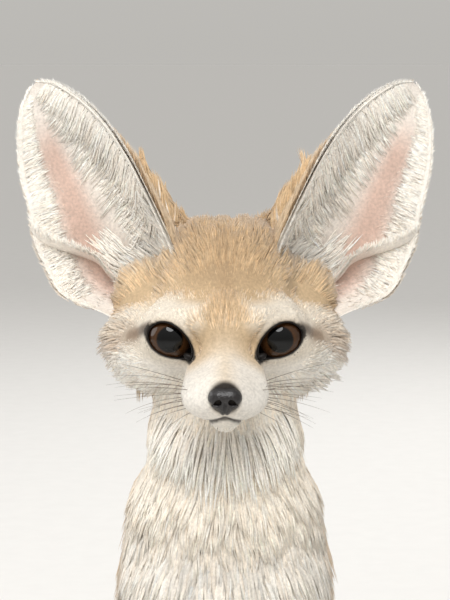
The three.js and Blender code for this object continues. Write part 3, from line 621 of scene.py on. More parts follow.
def in_cup(p, depth=-0.9, lowest=1.14):
    """Whether points lie in an ear's cup, deeper than depth from the middle of its shell."""
    inside = np.zeros(len(p), bool)
    for side in (1, -1):
        v, across, deep = ear_place(side, to_head(p))
        inside |= (v > 0) & (v < lowest) & (np.abs(across) < 1.02) & (deep > depth)
    return inside


def cup_bottom(h):
    """How much points of the head belong to the bottom of an ear's cup."""
    share = np.zeros(len(h))
    for side in (1, -1):
        v, across, deep = ear_place(side, h)
        here = past(deep, BEHIND_SHELL, 2) * short_of(v, 1.12, 0.14) * short_of(np.abs(across), 1.04, 0.12)
        share = np.maximum(share, here * (v > 0))
    return share


# Lie, length and colour of the coat, part by part


def near_line(h, start, end, wide, soft):
    """How strongly a stripe between two points of the head's frame, on both sides, covers points."""
    return 1 - ramp(reach(bone(start, end, wide, wide), one_side(h.astype(float))) / soft)


def blended(sizes, others, share):
    return [mix(size, other, share) for size, other in zip(sizes, others)]


def head_coat(h, n):
    """For points in the head's frame with normals n: lie, length, width, lift at the root, number per mm2."""
    x, y, z = one_side(h).T
    side = np.sign(h[:, 0])
    cheek = past(x, 19, 15) * short_of(z, 6, 12) * past(y, 2, 14)
    temple = past(x, 16, 12) * past(y, 10, 14) * (1 - cheek)
    throat = short_of(z, -15, 8) * past(y, -4, 16)
    crown = past(y, 2, 26) * past(z, 2, 14)
    shoulder = past(x, 4, 7) * short_of(x, 22, 8) * past(z, 20, 10)
    nape = past(y, 38, 14)
    rear = past(n[:, 1], -0.12, 0.55) * past(y, 15, 12)
    muzzle = 1 - past(y, -34, 34)
    chin = short_of(z, -22.5, 3) * short_of(x, 8, 5) * short_of(y, -4, 8)
    stroke = short_of(x, 9, 5) * past(z, 2, 6) * short_of(y, 22, 8)
    root = 1 - ramp((body(EAR_ROOT, 1, h.astype(np.float32)) - 1) / 9)
    cup = cup_bottom(h)

    swept = rows(side * 0.75, 0.55, mix(0.05, -0.85, short_of(z, 8, 34)))
    to_tip = unit(EAR_TIP - EAR_FOOT) * rows(side, 1, 1)
    lie = unit(rows(h[:, 0] * 0.75, y + 52, (z + 10) * 0.75))
    for way, share in [
        (unit(swept), cheek),
        (unit(rows(h[:, 0] * 0.02, 0.8, -0.75)), throat * 0.8),
        (unit(rows(h[:, 0] * 0.006, 0.3, -1)), rear * (1 - 0.6 * throat)),
        (np.array([0, 0.25, -1]), chin * 0.8),
        (to_tip, cup),
        (unit(mix(to_tip, np.array([0, 0.1, 1]), 0.6)), root * (1 - cup)),
    ]:
        lie = unit(mix(lie, way, share[:, None]))
    from_eye = unit(h - rows(side * EYE_SPACING / 2, 2, 0))
    lie = unit(mix(from_eye, lie, ramp(lid_distance(h) / 3.5)[:, None]))

    length = (2.0 * stroke + mix(5.0, 1.7, muzzle) + 6.5 * crown + 8.5 * cheek + 3 * temple + 6 * throat
              + 5 * nape + 4 * chin)
    width = mix(0.68, 0.42, muzzle) + 0.2 * crown + 0.4 * cheek + 0.25 * throat + 0.12 * chin
    lift = 12 + 8 * crown + 15 * cheek + 3 * temple + 14 * throat + 6 * nape + 12 * chin
    many = mix(2.3, 4.4, muzzle) - 1.0 * crown - 1.25 * cheek - 0.8 * throat - 0.5 * nape
    length, width, lift, many = blended((length, width, lift, many), (12.5, 0.75, 24, 1.8), root)
    length, lift = length + 2.5 * shoulder * (1 - root), lift + 12 * shoulder * (1 - root)
    lift = mix(lift, 11, 0.8 * ramp(rear / 0.3) * (1 - root) * (1 - cheek) * (1 - throat))
    length, width, lift, many = blended((length, width, lift, many), (9, 0.7, 20, 1.7), cup)
    length = mix(length, 2.4, near_line(h, [30, -2, 4.0], [39, 10, -3.5], 1.5, 6))
    return lie, length, width, lift, np.maximum(many, 0.5)


def fur_plan(p, n, d):
    """Of the coat at points p with normals n, melted over the parts: lie, length, width, lift and number
    per mm2, and how much of each part a point has."""
    x, y, z = p.T
    lie, *head = head_coat(to_head(p), n)
    behind = past(n[:, 1], -0.35, 0.8)
    belly = short_of(z, 150, 50) * (1 - behind)
    upper = past(z, 40, 60)
    near = nearest_on_tail(p)
    t = TAIL_T[near]
    tail_end = TAIL_LINE[-1] + unit(TAIL_LINE[-1] - TAIL_LINE[-2]) * TAIL_TIP_REACH
    heading = unit(mix(TAIL_WAY[near], unit(tail_end - p), (0.85 * past(t, 0.84, 0.14))[:, None]))
    heading = mix(unit([0, 0.62, -1.0]), heading, past(t, 0.02, 0.16)[:, None])
    plans = [
        (turn_from_head(lie), *head),
        (rows(0.004 * x, 0.05 + 0.3 * past(y, -4, 20), -1), 18, 1.15, 21, 1.15),  # neck
        (rows(0.006 * x, mix(0.02, 0.62, behind), -1), mix(22, 12, belly), 1.75, 27, 0.56),  # trunk
        (rows(0, mix(0.1, 0.8, past(y, 6, 20)), -0.6), 12, 1.45, 20, 0.57),  # thigh
        (rows(0, -0.12, -1), mix(4.2, 9, upper), mix(0.8, 1.1, upper), 17, mix(1.5, 0.95, upper)),  # foreleg
        (rows(0, -1, -0.35), 3.2, 0.6, 17, 2.6),  # forepaw
        (rows(0, -1, -0.35), 3.6, 0.65, 17, 2.2),  # hindfoot
        (heading, mix(17, 27, ramp(t / 0.3)), 1.6, 27, 0.78),  # tail
    ]
    gaps = np.stack([d[name] for name in PARTS], -1)
    weight = np.exp(-(gaps - gaps.min(1, keepdims=True)) / 3.0)
    weight /= weight.sum(1, keepdims=True)
    lies, *sizes = zip(*plans)
    lies = np.stack([np.broadcast_to(lie if k == 0 else unit(lie), p.shape) for k, lie in enumerate(lies)], 1)
    melted = [(lies * weight[..., None]).sum(1)]
    for size in sizes:
        columns = [v if isinstance(v, np.ndarray) else np.full(len(p), v, np.float32) for v in size]
        melted.append((np.stack(columns, 1) * weight).sum(1))
    return melted, weight


def nearest_on_tail(p):
    gap = ((p[:, None, :] - TAIL_LINE[None, ::2, :]) ** 2).sum(-1)
    return gap.argmin(1) * 2


# Colours, linear
SAND = np.array([0.60, 0.435, 0.26])
SAND_DARK = np.array([0.40, 0.262, 0.14])
BACK_GREY = np.array([0.43, 0.30, 0.185])
CREAM = np.array([0.80, 0.70, 0.55])
WHITE = np.array([0.88, 0.835, 0.765])
LOCK_WHITE = np.array([0.91, 0.87, 0.80])
UMBER = np.array([0.075, 0.042, 0.024])
BROWN = np.array([0.26, 0.15, 0.075])
BLACK = np.array([0.022, 0.016, 0.012])
PINK = np.array([0.62, 0.38, 0.29])


WHISKER_ROOTS = np.array([
    [12.5 + 1.0 * k - 0.7 * row, -31 + 4.2 * k + row, -9.8 - 3.0 * row - 0.4 * k]
    for row in range(4) for k in range(4)
])


def lay(base, *layers):
    """A colour, or one for each point, under layers of (colour, how much of it each point gets)."""
    for colour, cover in layers:
        base = mix(base, colour, cover[:, None])
    return base


def head_markings(h, n):
    """Sandy crown and bridge, white face, dark stripes from the eyes."""
    x, y, z = one_side(h).T
    pale, paler, palest = (mix(CREAM, WHITE, t) for t in (0.4, 0.5, 0.6))
    ahead = short_of(y, 30, 14)
    outward = near_line(h * [1, 0.3, 1], [36.0, 2.0, -1.0], [46.0, 5.0, -11], 1.0, 5.0) * short_of(y, 24, 8)
    lips = np.exp(-(((z - mouth_height(h)) / 1.0) ** 2)) * ramp((MOUTH_CORNER + 1 - y) / 3)
    from_nose = np.linalg.norm(h - [0, 3 - NOSE_TIP, 0.2 - NOSE_DROP], axis=1)
    spots = np.max([np.exp(-((one_side(h) - root) ** 2).sum(-1) / 0.5) for root in WHISKER_ROOTS], 0)
    return lay(
        SAND,
        (SAND_DARK, past(z, 9, 16) * short_of(x, 26, 16) * 0.55),  # crown
        (pale, past(x, 11, 9) * short_of(z, 11, 9) * past(y, -20, 12) * ahead * 0.92),  # cheeks
        (paler, near_line(h, [14, -7, 11], [27, 1, 12], 2.5, 8) * 0.85),  # brows
        (pale, near_line(h, [27, 1, 12], [38, 14, 9], 4.0, 8) * 0.7),
        (WHITE, short_of(z, -4, 8) * past(x, 3, 5) * short_of(y, 42, 16) * 0.95),  # low on the cheeks
        (WHITE, short_of(z, -13, 5) * ahead),  # chin
        (SAND_DARK, short_of(x, 5, 4) * past(z, 3, 8) * short_of(y, 20, 10) * 0.4),  # forehead
        (SAND, past(x, 24, 14) * past(z, 10, 12) * short_of(z, 30, 16) * 0.5),
        (SAND, past(x, 34, 9) * short_of(z, -2, 10) * past(y, 18, 12) * 0.4),
        (SAND, short_of(x, 7, 4) * short_of(y, -2, 10) * past(z, -13, 5) * 0.5),  # bridge
        (palest, short_of(y, -10, 13) * 0.55),  # muzzle
        (WHITE, short_of(y, -16, 10) * past(x, -1, 8) * 0.75),
        (BROWN, near_line(h, [10.5, -9, -6.5], [10, -25, -11], 0.7, 3.2) * 0.6),  # stripes down the muzzle
        (UMBER, near_line(h, [12, -7, -5.5], [10.2, -11, -8.5], 0.7, 2.2) * 0.85),
        (UMBER, near_line(h, [29.0, -3.0, 4.6], [38.0, 8.0, -1.8], 1.0, 3.1) * 0.92
         * (1 - 0.3 * past(x, 29, 9))),  # lines behind the eyes
        (BROWN, outward * 0.55),
        (BLACK, 1 - ramp((lid_distance(h, 1.6) - 0.05) / 0.85)),
        (BLACK, lips * 0.9),
        # black skin round and under the nose pad: the nose's own black, and painted shade inside the
        # nostrils, where this skin shows through
        (BLACK, 1 - past(from_nose, 5.4, 1.6)),
        (UMBER, spots * 0.7),
        (SAND, past(y, 30, 14) * past(z, -6, 14) * 0.5),  # nape
        (WHITE * 0.95, cup_bottom(h) * short_of(n[:, 1], 0.45, 0.3)),
    )


def markings(p, n, weight):
    """The coat's colour at points p of the skin with normals n, each with its share of the parts."""
    x, y, z = one_side(p).T
    back = n[:, 1]
    tail_share = weight[:, -1]
    soft = weight[:, :-1] ** 0.4
    soft *= ((1 - tail_share) / np.maximum(soft.sum(1), 1e-6))[:, None]
    ridge = past(back, 0.35, 0.5) * short_of(x, 26, 20)
    t = TAIL_T[nearest_on_tail(p)]
    spot = np.exp(-(((t - 0.13) / 0.045) ** 2)) * past(n[:, 2], -0.2, 0.6)
    tail = lay(CREAM, (mix(SAND, SAND_DARK, 0.55), mix(0.55, 1.0, past(n[:, 2], -0.4, 1.0))),
               (BROWN, 0.85 * spot))
    tail = mix(mix(SAND, SAND_DARK, 0.75), tail, past(t, 0.01, 0.12)[:, None])
    colours = [
        head_markings(to_head(p), n),
        lay(mix(WHITE, CREAM, 0.45), (SAND, past(y, -14, 20) * past(back, -0.5, 0.9)),  # neck
            (SAND_DARK, short_of(z, 238, 42) * (0.6 * ridge + 0.22 * past(back, 0.2, 0.5)))),
        lay(WHITE, (SAND, past(back, -0.35, 0.7)), (SAND_DARK, 0.75 * ridge),  # trunk
            (SAND, past(np.abs(n[:, 0]), 0.1, 0.5) * past(y, -16, 24))),
        lay(SAND, (CREAM, np.maximum(short_of(z, 30, 22), short_of(x, 30, 9)))),  # thigh
        lay(CREAM, (SAND, 0.75 * past(x, 18, 10) * past(z, 40, 50))),  # foreleg
        CREAM,  # paws
        CREAM,
        lay(tail, (BLACK, ramp((t - TAIL_END + 0.03) / 0.06))),
    ]
    return sum(colour * share[:, None] for colour, share in zip(colours, [*soft.T, tail_share]))


# Materials


def feed(tree, made, inputs):
    """Links inputs of a node, by name or number, to outputs of others, or sets them."""
    for key, value in inputs.items():
        if isinstance(value, bpy.types.NodeSocket):
            tree.links.new(value, made.inputs[key])
        else:
            made.inputs[key].default_value = value


def node(tree, kind, inputs=None, **settings):
    made = tree.nodes.new("ShaderNode" + kind)
    for key, value in settings.items():
        setattr(made, key, value)
    feed(tree, made, inputs or {})
    return made


def plain_material(name):
    """A material, its tree and shader, and where a point lies in its object."""
    material = bpy.data.materials.new(name)
    material.use_nodes = True
    tree = material.node_tree
    return material, tree, tree.nodes["Principled BSDF"], node(tree, "TexCoord").outputs["Object"]


def noise(tree, place, scale, detail=3.0):
    inputs = {"Vector": place, "Scale": scale, "Detail": detail, "Roughness": 0.55}
    return node(tree, "TexNoise", inputs).outputs["Fac"]


def mottle(tree, source, low, high):
    """source from 0.3 to 0.7 mapped onto low to high."""
    inputs = {"Value": source, "From Min": 0.3, "From Max": 0.7, "To Min": low, "To Max": high}
    return node(tree, "MapRange", inputs).outputs[0]


def tinted(tree, colour, shade):
    return node(tree, "VectorMath", {0: colour, "Scale": shade}, operation="SCALE").outputs[0]


def bumped(tree, height, strength, distance):
    inputs = {"Height": height, "Strength": strength, "Distance": distance}
    return node(tree, "Bump", inputs).outputs[0]


def fur_material(name, bump=0.0, rough=0.62, sheen=0.25):
    """The painted markings, mottled at two scales; bump stands for fur too short to model."""
    material, tree, shader, place = plain_material(name)
    painted = node(tree, "VertexColor", layer_name="Markings").outputs["Color"]
    shade = node(tree, "Math", {0: mottle(tree, noise(tree, place, 45.0), 0.9, 1.08),
                                1: mottle(tree, noise(tree, place, 900.0, 2.0), 0.86, 1.12)},
                 operation="MULTIPLY").outputs[0]
    feed(tree, shader, {"Base Color": tinted(tree, painted, shade), "Roughness": rough,
                        "Specular IOR Level": 0.18, "Sheen Weight": sheen, "Sheen Roughness": 0.5})
    if bump:
        along = node(tree, "Mapping", {"Vector": place, "Scale": (900.0, 260.0, 260.0)}).outputs[0]
        hairs = node(tree, "TexNoise", {"Vector": along, "Scale": 1.0, "Detail": 3.0}).outputs["Fac"]
        feed(tree, shader, {"Normal": bumped(tree, hairs, bump, 0.0004)})
    return material


SKIN_FINISH = fur_material("Short_fur", bump=0.5, sheen=0.06)
FUR_FINISH = fur_material("Long_fur")


def dark_skin(name, colour, rough, grain, depth, gloss=0.5):
    material, tree, shader, place = plain_material(name)
    cells = node(tree, "TexVoronoi", {"Vector": place, "Scale": grain}).outputs["Distance"]
    shade = mottle(tree, noise(tree, place, 300.0), 0.7, 1.35)
    feed(tree, shader, {"Base Color": tinted(tree, colour, shade), "Roughness": rough,
                        "Specular IOR Level": gloss, "Normal": bumped(tree, cells, 0.6, depth)})
    return material


# Coat: tapered tufts of hair with three sides, bent along the lie and drawn together in locks

TUFT_SIDES = 3
PATCH = 0.003  # each tuft's place on the bake map
MOST_FACES = 190_000
SOFT_SHADE = 0.9  # how far a tuft's shading leans to that of the skin under it
TUFT_GROWTH = 0.35, 0.7  # shares of its length where a tuft is widest and where it starts to taper
LIFTS, LENGTHS, WIDTHS = (0.75, 1.25), (0.78, 1.18), (0.8, 1.2)  # how tufts vary
SETTLED = 0.15  # share of its lift that a tuft keeps at its tip
LOCK_SPACING = 0.3  # share of their distance at the root that the tips of a lock keep
TIP_SHADE = 1.08
BELOW, ABOVE = 0.25, 0.55  # how far a tuft's corners lie under and over its line, in half widths
PULL_CURVE, TIP_CURVE = 1.6, 1.3  # powers by which the pull of a lock and the tip's colour come in
UNDER_SHADE = 0.45  # share of its own normal underneath a tuft
WARMTH = 0.012, 0.02  # how much redder tufts are, and how this varies
DARKEST, LIGHTEST = 0.003, 0.95  # limits of a painted colour


def triangles_of(quads):
    return np.concatenate([quads[:, [0, 1, 2]], quads[:, [0, 2, 3]]])


def scatter(points, normals, triangles, density):
    """Roots spread over triangles by density per mm2, as points, normals and the triangle each is on."""
    a, b, c = (points[triangles[:, k]] for k in range(3))
    area = np.linalg.norm(np.cross(b - a, c - a), axis=1) / 2
    wanted = area * density
    total = int(wanted.sum())
    places = (np.arange(total) + rng.random(total)) / total * wanted.sum()
    chosen = np.minimum(np.searchsorted(np.cumsum(wanted), places), len(triangles) - 1)
    r1, r2 = np.sqrt(rng.random(total)), rng.random(total)
    share = np.stack([1 - r1, r1 * (1 - r2), r1 * r2], -1)
    corner = triangles[chosen]
    root = sum(points[corner[:, k]] * share[:, k : k + 1] for k in range(3))
    normal = unit(sum(normals[corner[:, k]] * share[:, k : k + 1] for k in range(3)))
    return root, normal, chosen


def clumped(root, tips, every, pull):
    """Draws each tip towards the tip of the nearest leading tuft."""
    leaders = rng.choice(len(root), max(len(root) // every, 1), replace=False)
    tree = KDTree(len(leaders))
    for k, i in enumerate(leaders):
        tree.insert(root[i], k)
    tree.balance()
    lead = leaders[[tree.find(p)[1] for p in root]]
    drawn = tips[lead] + (root - root[lead]) * LOCK_SPACING
    return (drawn - tips) * np.reshape(pull, (-1, 1))


def tufts(plan, segments, clump_every, sink=0.5):
    """Corner points (count, rings, 3 sides) of tufts, their tips, and how far along each ring is."""
    root, normal, lie = plan["root"], plan["normal"], flat_to(plan["lie"], plan["normal"])
    count = len(root)
    lift = np.radians(plan["lift"] * rng.uniform(*LIFTS, count))[:, None]
    sway = rng.normal(0, plan.get("sway", 0.13), count)[:, None]
    lie = unit(lie + np.cross(normal, lie) * sway)
    length = (plan["length"] * rng.uniform(*LENGTHS, count))[:, None]
    start = lie * np.cos(lift) + normal * np.sin(lift)
    end_lift = lift * SETTLED
    end = unit(lie * np.cos(end_lift) + normal * np.sin(end_lift) + [0, 0, -plan.get("droop", 0.12)])
    steps = np.linspace(0, 1, segments + 1)
    line = [root - normal * sink + length * (start * s + (end - start) * s * s / 2) for s in steps]
    pulled = clumped(root, line[-1], clump_every, plan["pull"])
    line = [at + pulled * s ** PULL_CURVE for at, s in zip(line, steps)]
    profile = np.interp(steps, [0, *TUFT_GROWTH, 1], [0.8 if segments > 1 else 1.0, 1.0, 0.72, 0.0])
    width = plan["width"] * rng.uniform(*WIDTHS, count)
    rings = []
    for k in range(segments):
        heading = unit(line[k + 1] - line[k])
        side = unit(np.cross(heading, normal))
        out = np.cross(side, heading)
        half = (width * profile[k] / 2)[:, None]
        corners = [side * half - out * half * BELOW, -side * half - out * half * BELOW, out * half * ABOVE]
        rings.append(np.stack([line[k] + c for c in corners], 1))
    return np.stack(rings, 1), line[-1], steps


def tuft_faces(count, segments):
    """Triangles of tufts whose corners are numbered ring by ring, with the tip last."""
    per = TUFT_SIDES * segments + 1
    faces = [[0, 2, 1]]
    for k in range(segments - 1):
        for i in range(TUFT_SIDES):
            a, b = k * TUFT_SIDES + i, k * TUFT_SIDES + (i + 1) % TUFT_SIDES
            faces += [[a, b, b + TUFT_SIDES], [a, b + TUFT_SIDES, a + TUFT_SIDES]]
    top = (segments - 1) * TUFT_SIDES
    faces += [[top + i, top + (i + 1) % TUFT_SIDES, per - 1] for i in range(TUFT_SIDES)]
    return (np.array(faces)[None] + (np.arange(count) * per)[:, None, None]).reshape(-1, 3), per


def shade_as_skin(thing, faces, below, segments):
    """Normals that lean to the skin's on the two upper sides of each tuft, and to its tip underneath."""
    points, own = np.empty((2, len(below) * 3), np.float32)
    thing.data.vertices.foreach_get("co", points)
    thing.data.vertices.foreach_get("normal", own)
    points, own = points.reshape(-1, 3), own.reshape(-1, 3)
    leaning = unit(below * SOFT_SHADE + own)[faces]
    a, b, c = (points[faces[:, k]] for k in range(3))
    flat = unit(np.cross((b - a) * 1000, (c - a) * 1000))[:, None].repeat(3, 1)
    pattern = [True] + [True, True, False, False, False, False] * (segments - 1) + [True, False, False]
    under = np.tile(pattern, len(faces) // len(pattern))
    tuft = points.reshape(-1, TUFT_SIDES * segments + 1, 3)
    heading = unit((tuft[:, -1] - tuft[:, :TUFT_SIDES].mean(1)) * 1000).repeat(len(pattern), 0)[:, None]
    lit_through = unit(flat * UNDER_SHADE + heading)
    thing.data.normals_split_custom_set(np.where(under[:, None, None], lit_through, leaning).reshape(-1, 3))


def coat(name, plan, slot, segments, lift_floor=True, avoid=None, **options):
    """Makes coat pieces from a plan, each under the limit of faces, without the tufts that avoid() finds."""
    rings, tips, steps = tufts(plan, segments, **options)
    if avoid is not None:
        kept = ~avoid(plan["root"], tips)
        rings, tips = rings[kept], tips[kept]
        plan = {key: v[kept] if isinstance(v, np.ndarray) and len(v) == len(kept) else v
                for key, v in plan.items()}
    count = len(tips)
    points = np.concatenate([rings.reshape(count, -1, 3), tips[:, None]], 1)
    if lift_floor:
        points[..., 2] = np.maximum(points[..., 2], FLOOR_CLEAR * 0.5)
    along = np.concatenate([np.repeat(steps[:-1], TUFT_SIDES), [1.0]])
    shade = rng.normal(1, plan.get("mottle", 0.085), count)[:, None, None]
    warm = rng.normal(*WARMTH, count)[:, None, None] * np.array([1, 0, -1])
    low, high = (np.broadcast_to(colour, (count, 3))[:, None, :] * shade * (1 + warm)
                 for colour in (plan["colour"], plan.get("tip_colour", plan["colour"])))
    # Tufts are painted darker at the root than at the tip: partly the hair's own colour, partly painted shade
    # deep in the coat.
    colour = mix(low * plan.get("root_shade", 0.78), high * TIP_SHADE,
                 (along ** TIP_CURVE)[None, :, None])
    spread = np.concatenate([np.tile([0, 0.5, 1], segments), [0.5]])
    uv = np.clip(plan["unwrap"], 0, 1)[:, None, :] * (1 - PATCH) + rows(spread, along)[None] * PATCH
    order = np.argsort(plan["unwrap"][:, 1], kind="stable")
    faces_each = len(tuft_faces(1, segments)[0])
    many = max(1, math.ceil(count * faces_each / MOST_FACES))
    for k, chosen in enumerate(np.array_split(order, many)):
        faces, per = tuft_faces(len(chosen), segments)
        thing = make_mesh(f"{name}_{k + 1}" if many > 1 else name, points[chosen].reshape(-1, 3), faces)
        paint(thing, np.clip(colour[chosen].reshape(-1, 3), DARKEST, LIGHTEST))
        layer = thing.data.uv_layers.new(name="OFBake")
        layer.data.foreach_set("uv", uv[chosen].reshape(-1, 2)[faces.ravel()].astype(np.float32).ravel())
        shade_as_skin(thing, faces, np.repeat(plan["normal"][chosen], per, 0), segments)
        belongs(thing, FUR_FINISH)


def cylinder_map(p, centre, half_height, axis=2):
    """A place on a cylinder round an upright line (or one along y), as two numbers from 0 to 1."""
    q = p - np.array(centre)
    a, b = (k for k in range(3) if k != axis)
    turn = np.arctan2(q[:, a], q[:, b]) / (2 * np.pi) + 0.5
    return rows(turn, np.clip(q[:, axis] / half_height / 2 + 0.5, 0, 1))


LIMB_MAPS = {  # middle, half the height and axis of each limb's cylinder
    "thigh": ((40, 46, 50), 52, 2),
    "foreleg": ((21, -20, 60), 62, 2),
    "forepaw": ((19.5, -38, 5), 22, 1),
    "hindfoot": ((42, 28, 5), 52, 1),
}


def unwrapped(p, name):
    """Where points of a part lie on its bake map."""
    if name == "head":
        return cylinder_map(to_head(p), (0, 4, -3), 60, axis=1)
    if name in ("neck", "trunk"):
        lean = np.interp(p[:, 2], [40, 110, 190, 250], [60, 34, -10, -8])
        return cylinder_map(rows(p[:, 0], p[:, 1] - lean, p[:, 2]), (0, 0, 140), 145)
    if name == "tail":
        near = nearest_on_tail(p)
        q = p - TAIL_LINE[near]
        across = np.cross(TAIL_WAY[near], [0, 0, 1.0])
        return rows(np.arctan2((q * across).sum(-1), q[:, 2]) / (2 * np.pi) + 0.5, TAIL_T[near])
    flat = cylinder_map(one_side(p), *LIMB_MAPS[name])
    return rows(flat[:, 0] / 2 + np.where(p[:, 0] > 0, 0.5, 0.0), flat[:, 1])


LONG = 99
BANDS = {  # piece, its shortest and longest hair, segments of a tuft, tufts to a lock
    "head": [("muzzle", 0, 2.8, 1, 5), ("face", 2.8, 7.5, 2, 7), ("ruff", 7.5, LONG, 2, 14)],
    "neck": [("neck", 0, LONG, 3, 14)],
    "trunk": [("trunk", 0, LONG, 2, 14)],
    "thigh": [("thigh", 0, LONG, 2, 12)],
    "foreleg": [("shin", 0, 6, 1, 6), ("foreleg", 6, LONG, 2, 9)],
    "forepaw": [("forepaw", 0, LONG, 1, 5)],
    "hindfoot": [("hindfoot", 0, LONG, 1, 5)],
    "tail": [("tail", 0, TAIL_END, 3, 14), ("tail_end", TAIL_END, LONG, 3, 14)],  # by place, not length
}

MOTTLE = {"neck": 0.06, "trunk": 0.085}
# Darkening at the roots of each part's tufts, partly painted shade deep in the coat.
ROOT_SHADE = {"neck": 0.93, "head": 0.88}
SLOTS = {"head": "coat", "trunk": "coat", "thigh": "coat", "tail": "tail_coat"}


def crosses_ear(root, tip):
    return in_cup(tip) & ~in_cup(root, BEHIND_SHELL)


def bare_places(p, rim):
    """Where the skin has no tufts: lids, the ears' cups, nose, lips and soles."""
    h = to_head(p)
    across = np.abs(h[:, 0])
    nose = (h[:, 1] < 3.2 - NOSE_TIP) & (h[:, 2] > -15.5) & (across < 6.2)
    lips = (np.abs(h[:, 2] - mouth_height(h)) < 0.8) & (h[:, 1] < MOUTH_CORNER) & (across < 18)
    return (rim < 0.4) | in_cup(p, BEHIND_SHELL, 0.72) | nose | lips | (p[:, 2] < 1.2)


def body_coat():
    triangles = triangles_of(skin_quads)
    middle = skin_points[triangles].mean(1).astype(np.float32)
    normal = unit(skin_normals[triangles].sum(1))
    (lie, length, width, lift, density), weight = fur_plan(middle, normal, part_distances(middle))
    rim = lid_distance(to_head(middle))
    density = np.where(bare_places(middle, rim), 0, np.where(rim < 3, density * 1.3, density))
    length = np.where(rim < 12, np.minimum(length, 1.1 + np.maximum(rim, 0) * 0.5), length)
    width = np.where(rim < 4, width * 0.75, width)
    root, normals, chosen = scatter(skin_points, skin_normals, triangles, density)
    owner = weight[chosen].argmax(1)
    on_head = owner == PARTS.index("head")
    stray = np.where(on_head, mix(0.1, 1.2, ramp(lid_distance(to_head(root)) / 10)), 2.5)
    asked_at = root + rng.normal(0, 1, root.shape) * stray[:, None]
    colours = markings(asked_at.astype(np.float32), normals, weight[chosen])
    for k, name in enumerate(PARTS):
        measure = TAIL_T[nearest_on_tail(root)] if name == "tail" else length[chosen]
        for part, low, high, segments, every in BANDS[name]:
            mask = (owner == k) & (measure >= low) & (measure < high)
            i = chosen[mask]
            plan = {
                "root": root[mask], "normal": normals[mask], "lie": lie[i], "length": length[i],
                "width": width[i], "lift": lift[i], "colour": colours[mask],
                "pull": np.clip((length[i] - 2) / 14, 0.12, 0.5 if name in ("thigh", "trunk") else 0.66),
                "unwrap": unwrapped(root[mask], name),
                "droop": 0.2 if part in ("neck", "ruff", "trunk") else 0.05,
                "mottle": MOTTLE.get(name, 0.12), "root_shade": ROOT_SHADE.get(name, 0.76),
            }
            if name == "trunk":
                dark = ramp((normals[mask][:, 1] - 0.2) / 0.6)[:, None]
                plan["tip_colour"] = mix(colours[mask], BACK_GREY * 0.62, dark * 0.6)
            slot = "tail_tip" if part == "tail_end" else SLOTS.get(name, "pale_coat")
            avoid = crosses_ear if name in ("head", "neck") else None
            coat("coat_" + part, plan, slot, segments, avoid=avoid, clump_every=every)


BIB_HEIGHT, BIB_RISE, BIB_HALF, BIB_BAND, BIB_FRONT = 216, 11, 27, 5.5, -22


def bib():
    """Longer locks that hang in a curve under the throat, as the drawing has them."""
    triangles = triangles_of(skin_quads)
    x, y, z = skin_points[triangles].mean(1).T
    curve = BIB_HEIGHT + BIB_RISE * (x / BIB_HALF) ** 2
    here = (np.abs(z - curve) < BIB_BAND) & (np.abs(x) < BIB_HALF) & (y < BIB_FRONT)
    root, normal, _ = scatter(skin_points, skin_normals, triangles, np.where(here, 0.7, 0.0))
    plan = {
        "root": root, "normal": normal, "lie": unit(rows(root[:, 0] * 0.012, -0.02, -1)),
        "length": 25 - 6 * np.abs(root[:, 0]) / BIB_HALF, "width": 1.0, "lift": 38.0, "colour": LOCK_WHITE,
        "pull": rng.uniform(0.25, 0.8, len(root)), "droop": 0.25, "unwrap": unwrapped(root, "neck"),
        "root_shade": 0.95, "mottle": 0.03,
    }
    coat("coat_bib", plan, "pale_coat", 3, clump_every=12)


SKIN_PAINTED_SHADE = 0.82  # painted shade: share of the markings' brightness given to the skin between the tufts
FLESH = ["head", "ear_left", "ear_right", "neck", "trunk"] + [
    part + side for part in ("thigh_", "foreleg_", "forepaw_", "hindfoot_") for side in ("left", "right")
] + ["tail_base", "tail_middle", "tail_tip"]
skin = make_mesh("skin", skin_points, skin_quads)
skin_places = skin_points.astype(np.float32)
skin_weight = fur_plan(skin_places, skin_normals, part_distances(skin_places))[1]
# The skin takes the markings darkened as painted shade between the tufts.
paint(skin, markings(skin_places, skin_normals, skin_weight) * SKIN_PAINTED_SHADE)
body_coat()
bib()
belongs(skin, SKIN_FINISH, FLESH)


# Eyes

CORNEA_IOR = 1.376
CORNEA_HALF_ANGLE = math.radians(48)
IRIS_HALF_ANGLE = math.radians(72)
GAZE_TURN = 0.13  # how far the pupils turn in from the sockets' own axes
IRIS = [(0.0, (0.001, 0.001, 0.001)), (0.40, (0.001, 0.001, 0.001)), (0.46, (0.055, 0.023, 0.008)),
        (0.66, (0.034, 0.014, 0.005)), (0.78, (0.004, 0.002, 0.002)), (1.0, (0.008, 0.005, 0.004))]
RAY_START = 30
BALL_ROOM, CORNEA_BULGE = 0.15, 0.35
GLAND_AT, GLAND_DEEP, GLAND_SIZE = (10.4, -2.4), 2.4, (2.3, 1.3, 1.5)
RIM_RADIUS, RIM_REACH, RIM_SINK = 0.27, 0.9, 0.25  # of the dark edge: tube, place outside the opening, depth


def lathe_faces(rings, sides):
    faces = []
    for k in range(rings - 1):
        for i in range(sides):
            a, b = k * sides + i, k * sides + (i + 1) % sides
            faces.append([a, b, b + sides, a + sides])
    return np.array(faces)


def eye_material():
    material, tree, shader, place = plain_material("Eye")
    ring = node(tree, "Attribute", attribute_name="Ring").outputs["Fac"]
    wobble = node(tree, "Math", {0: noise(tree, place, 1400.0, 2.0), 1: 0.05, 2: ring},
                  operation="MULTIPLY_ADD").outputs[0]
    colours = node(tree, "ValToRGB", {"Fac": wobble})
    while len(colours.color_ramp.elements) < len(IRIS):
        colours.color_ramp.elements.new(0.5)
    for element, (at, colour) in zip(colours.color_ramp.elements, IRIS):
        element.position = at
        element.color = (*colour, 1)
    feed(tree, shader, {"Base Color": colours.outputs["Color"], "Roughness": 0.3, "Specular IOR Level": 0.0,
                        "Coat Weight": 1.0, "Coat IOR": CORNEA_IOR, "Coat Roughness": 0.02})
    return material


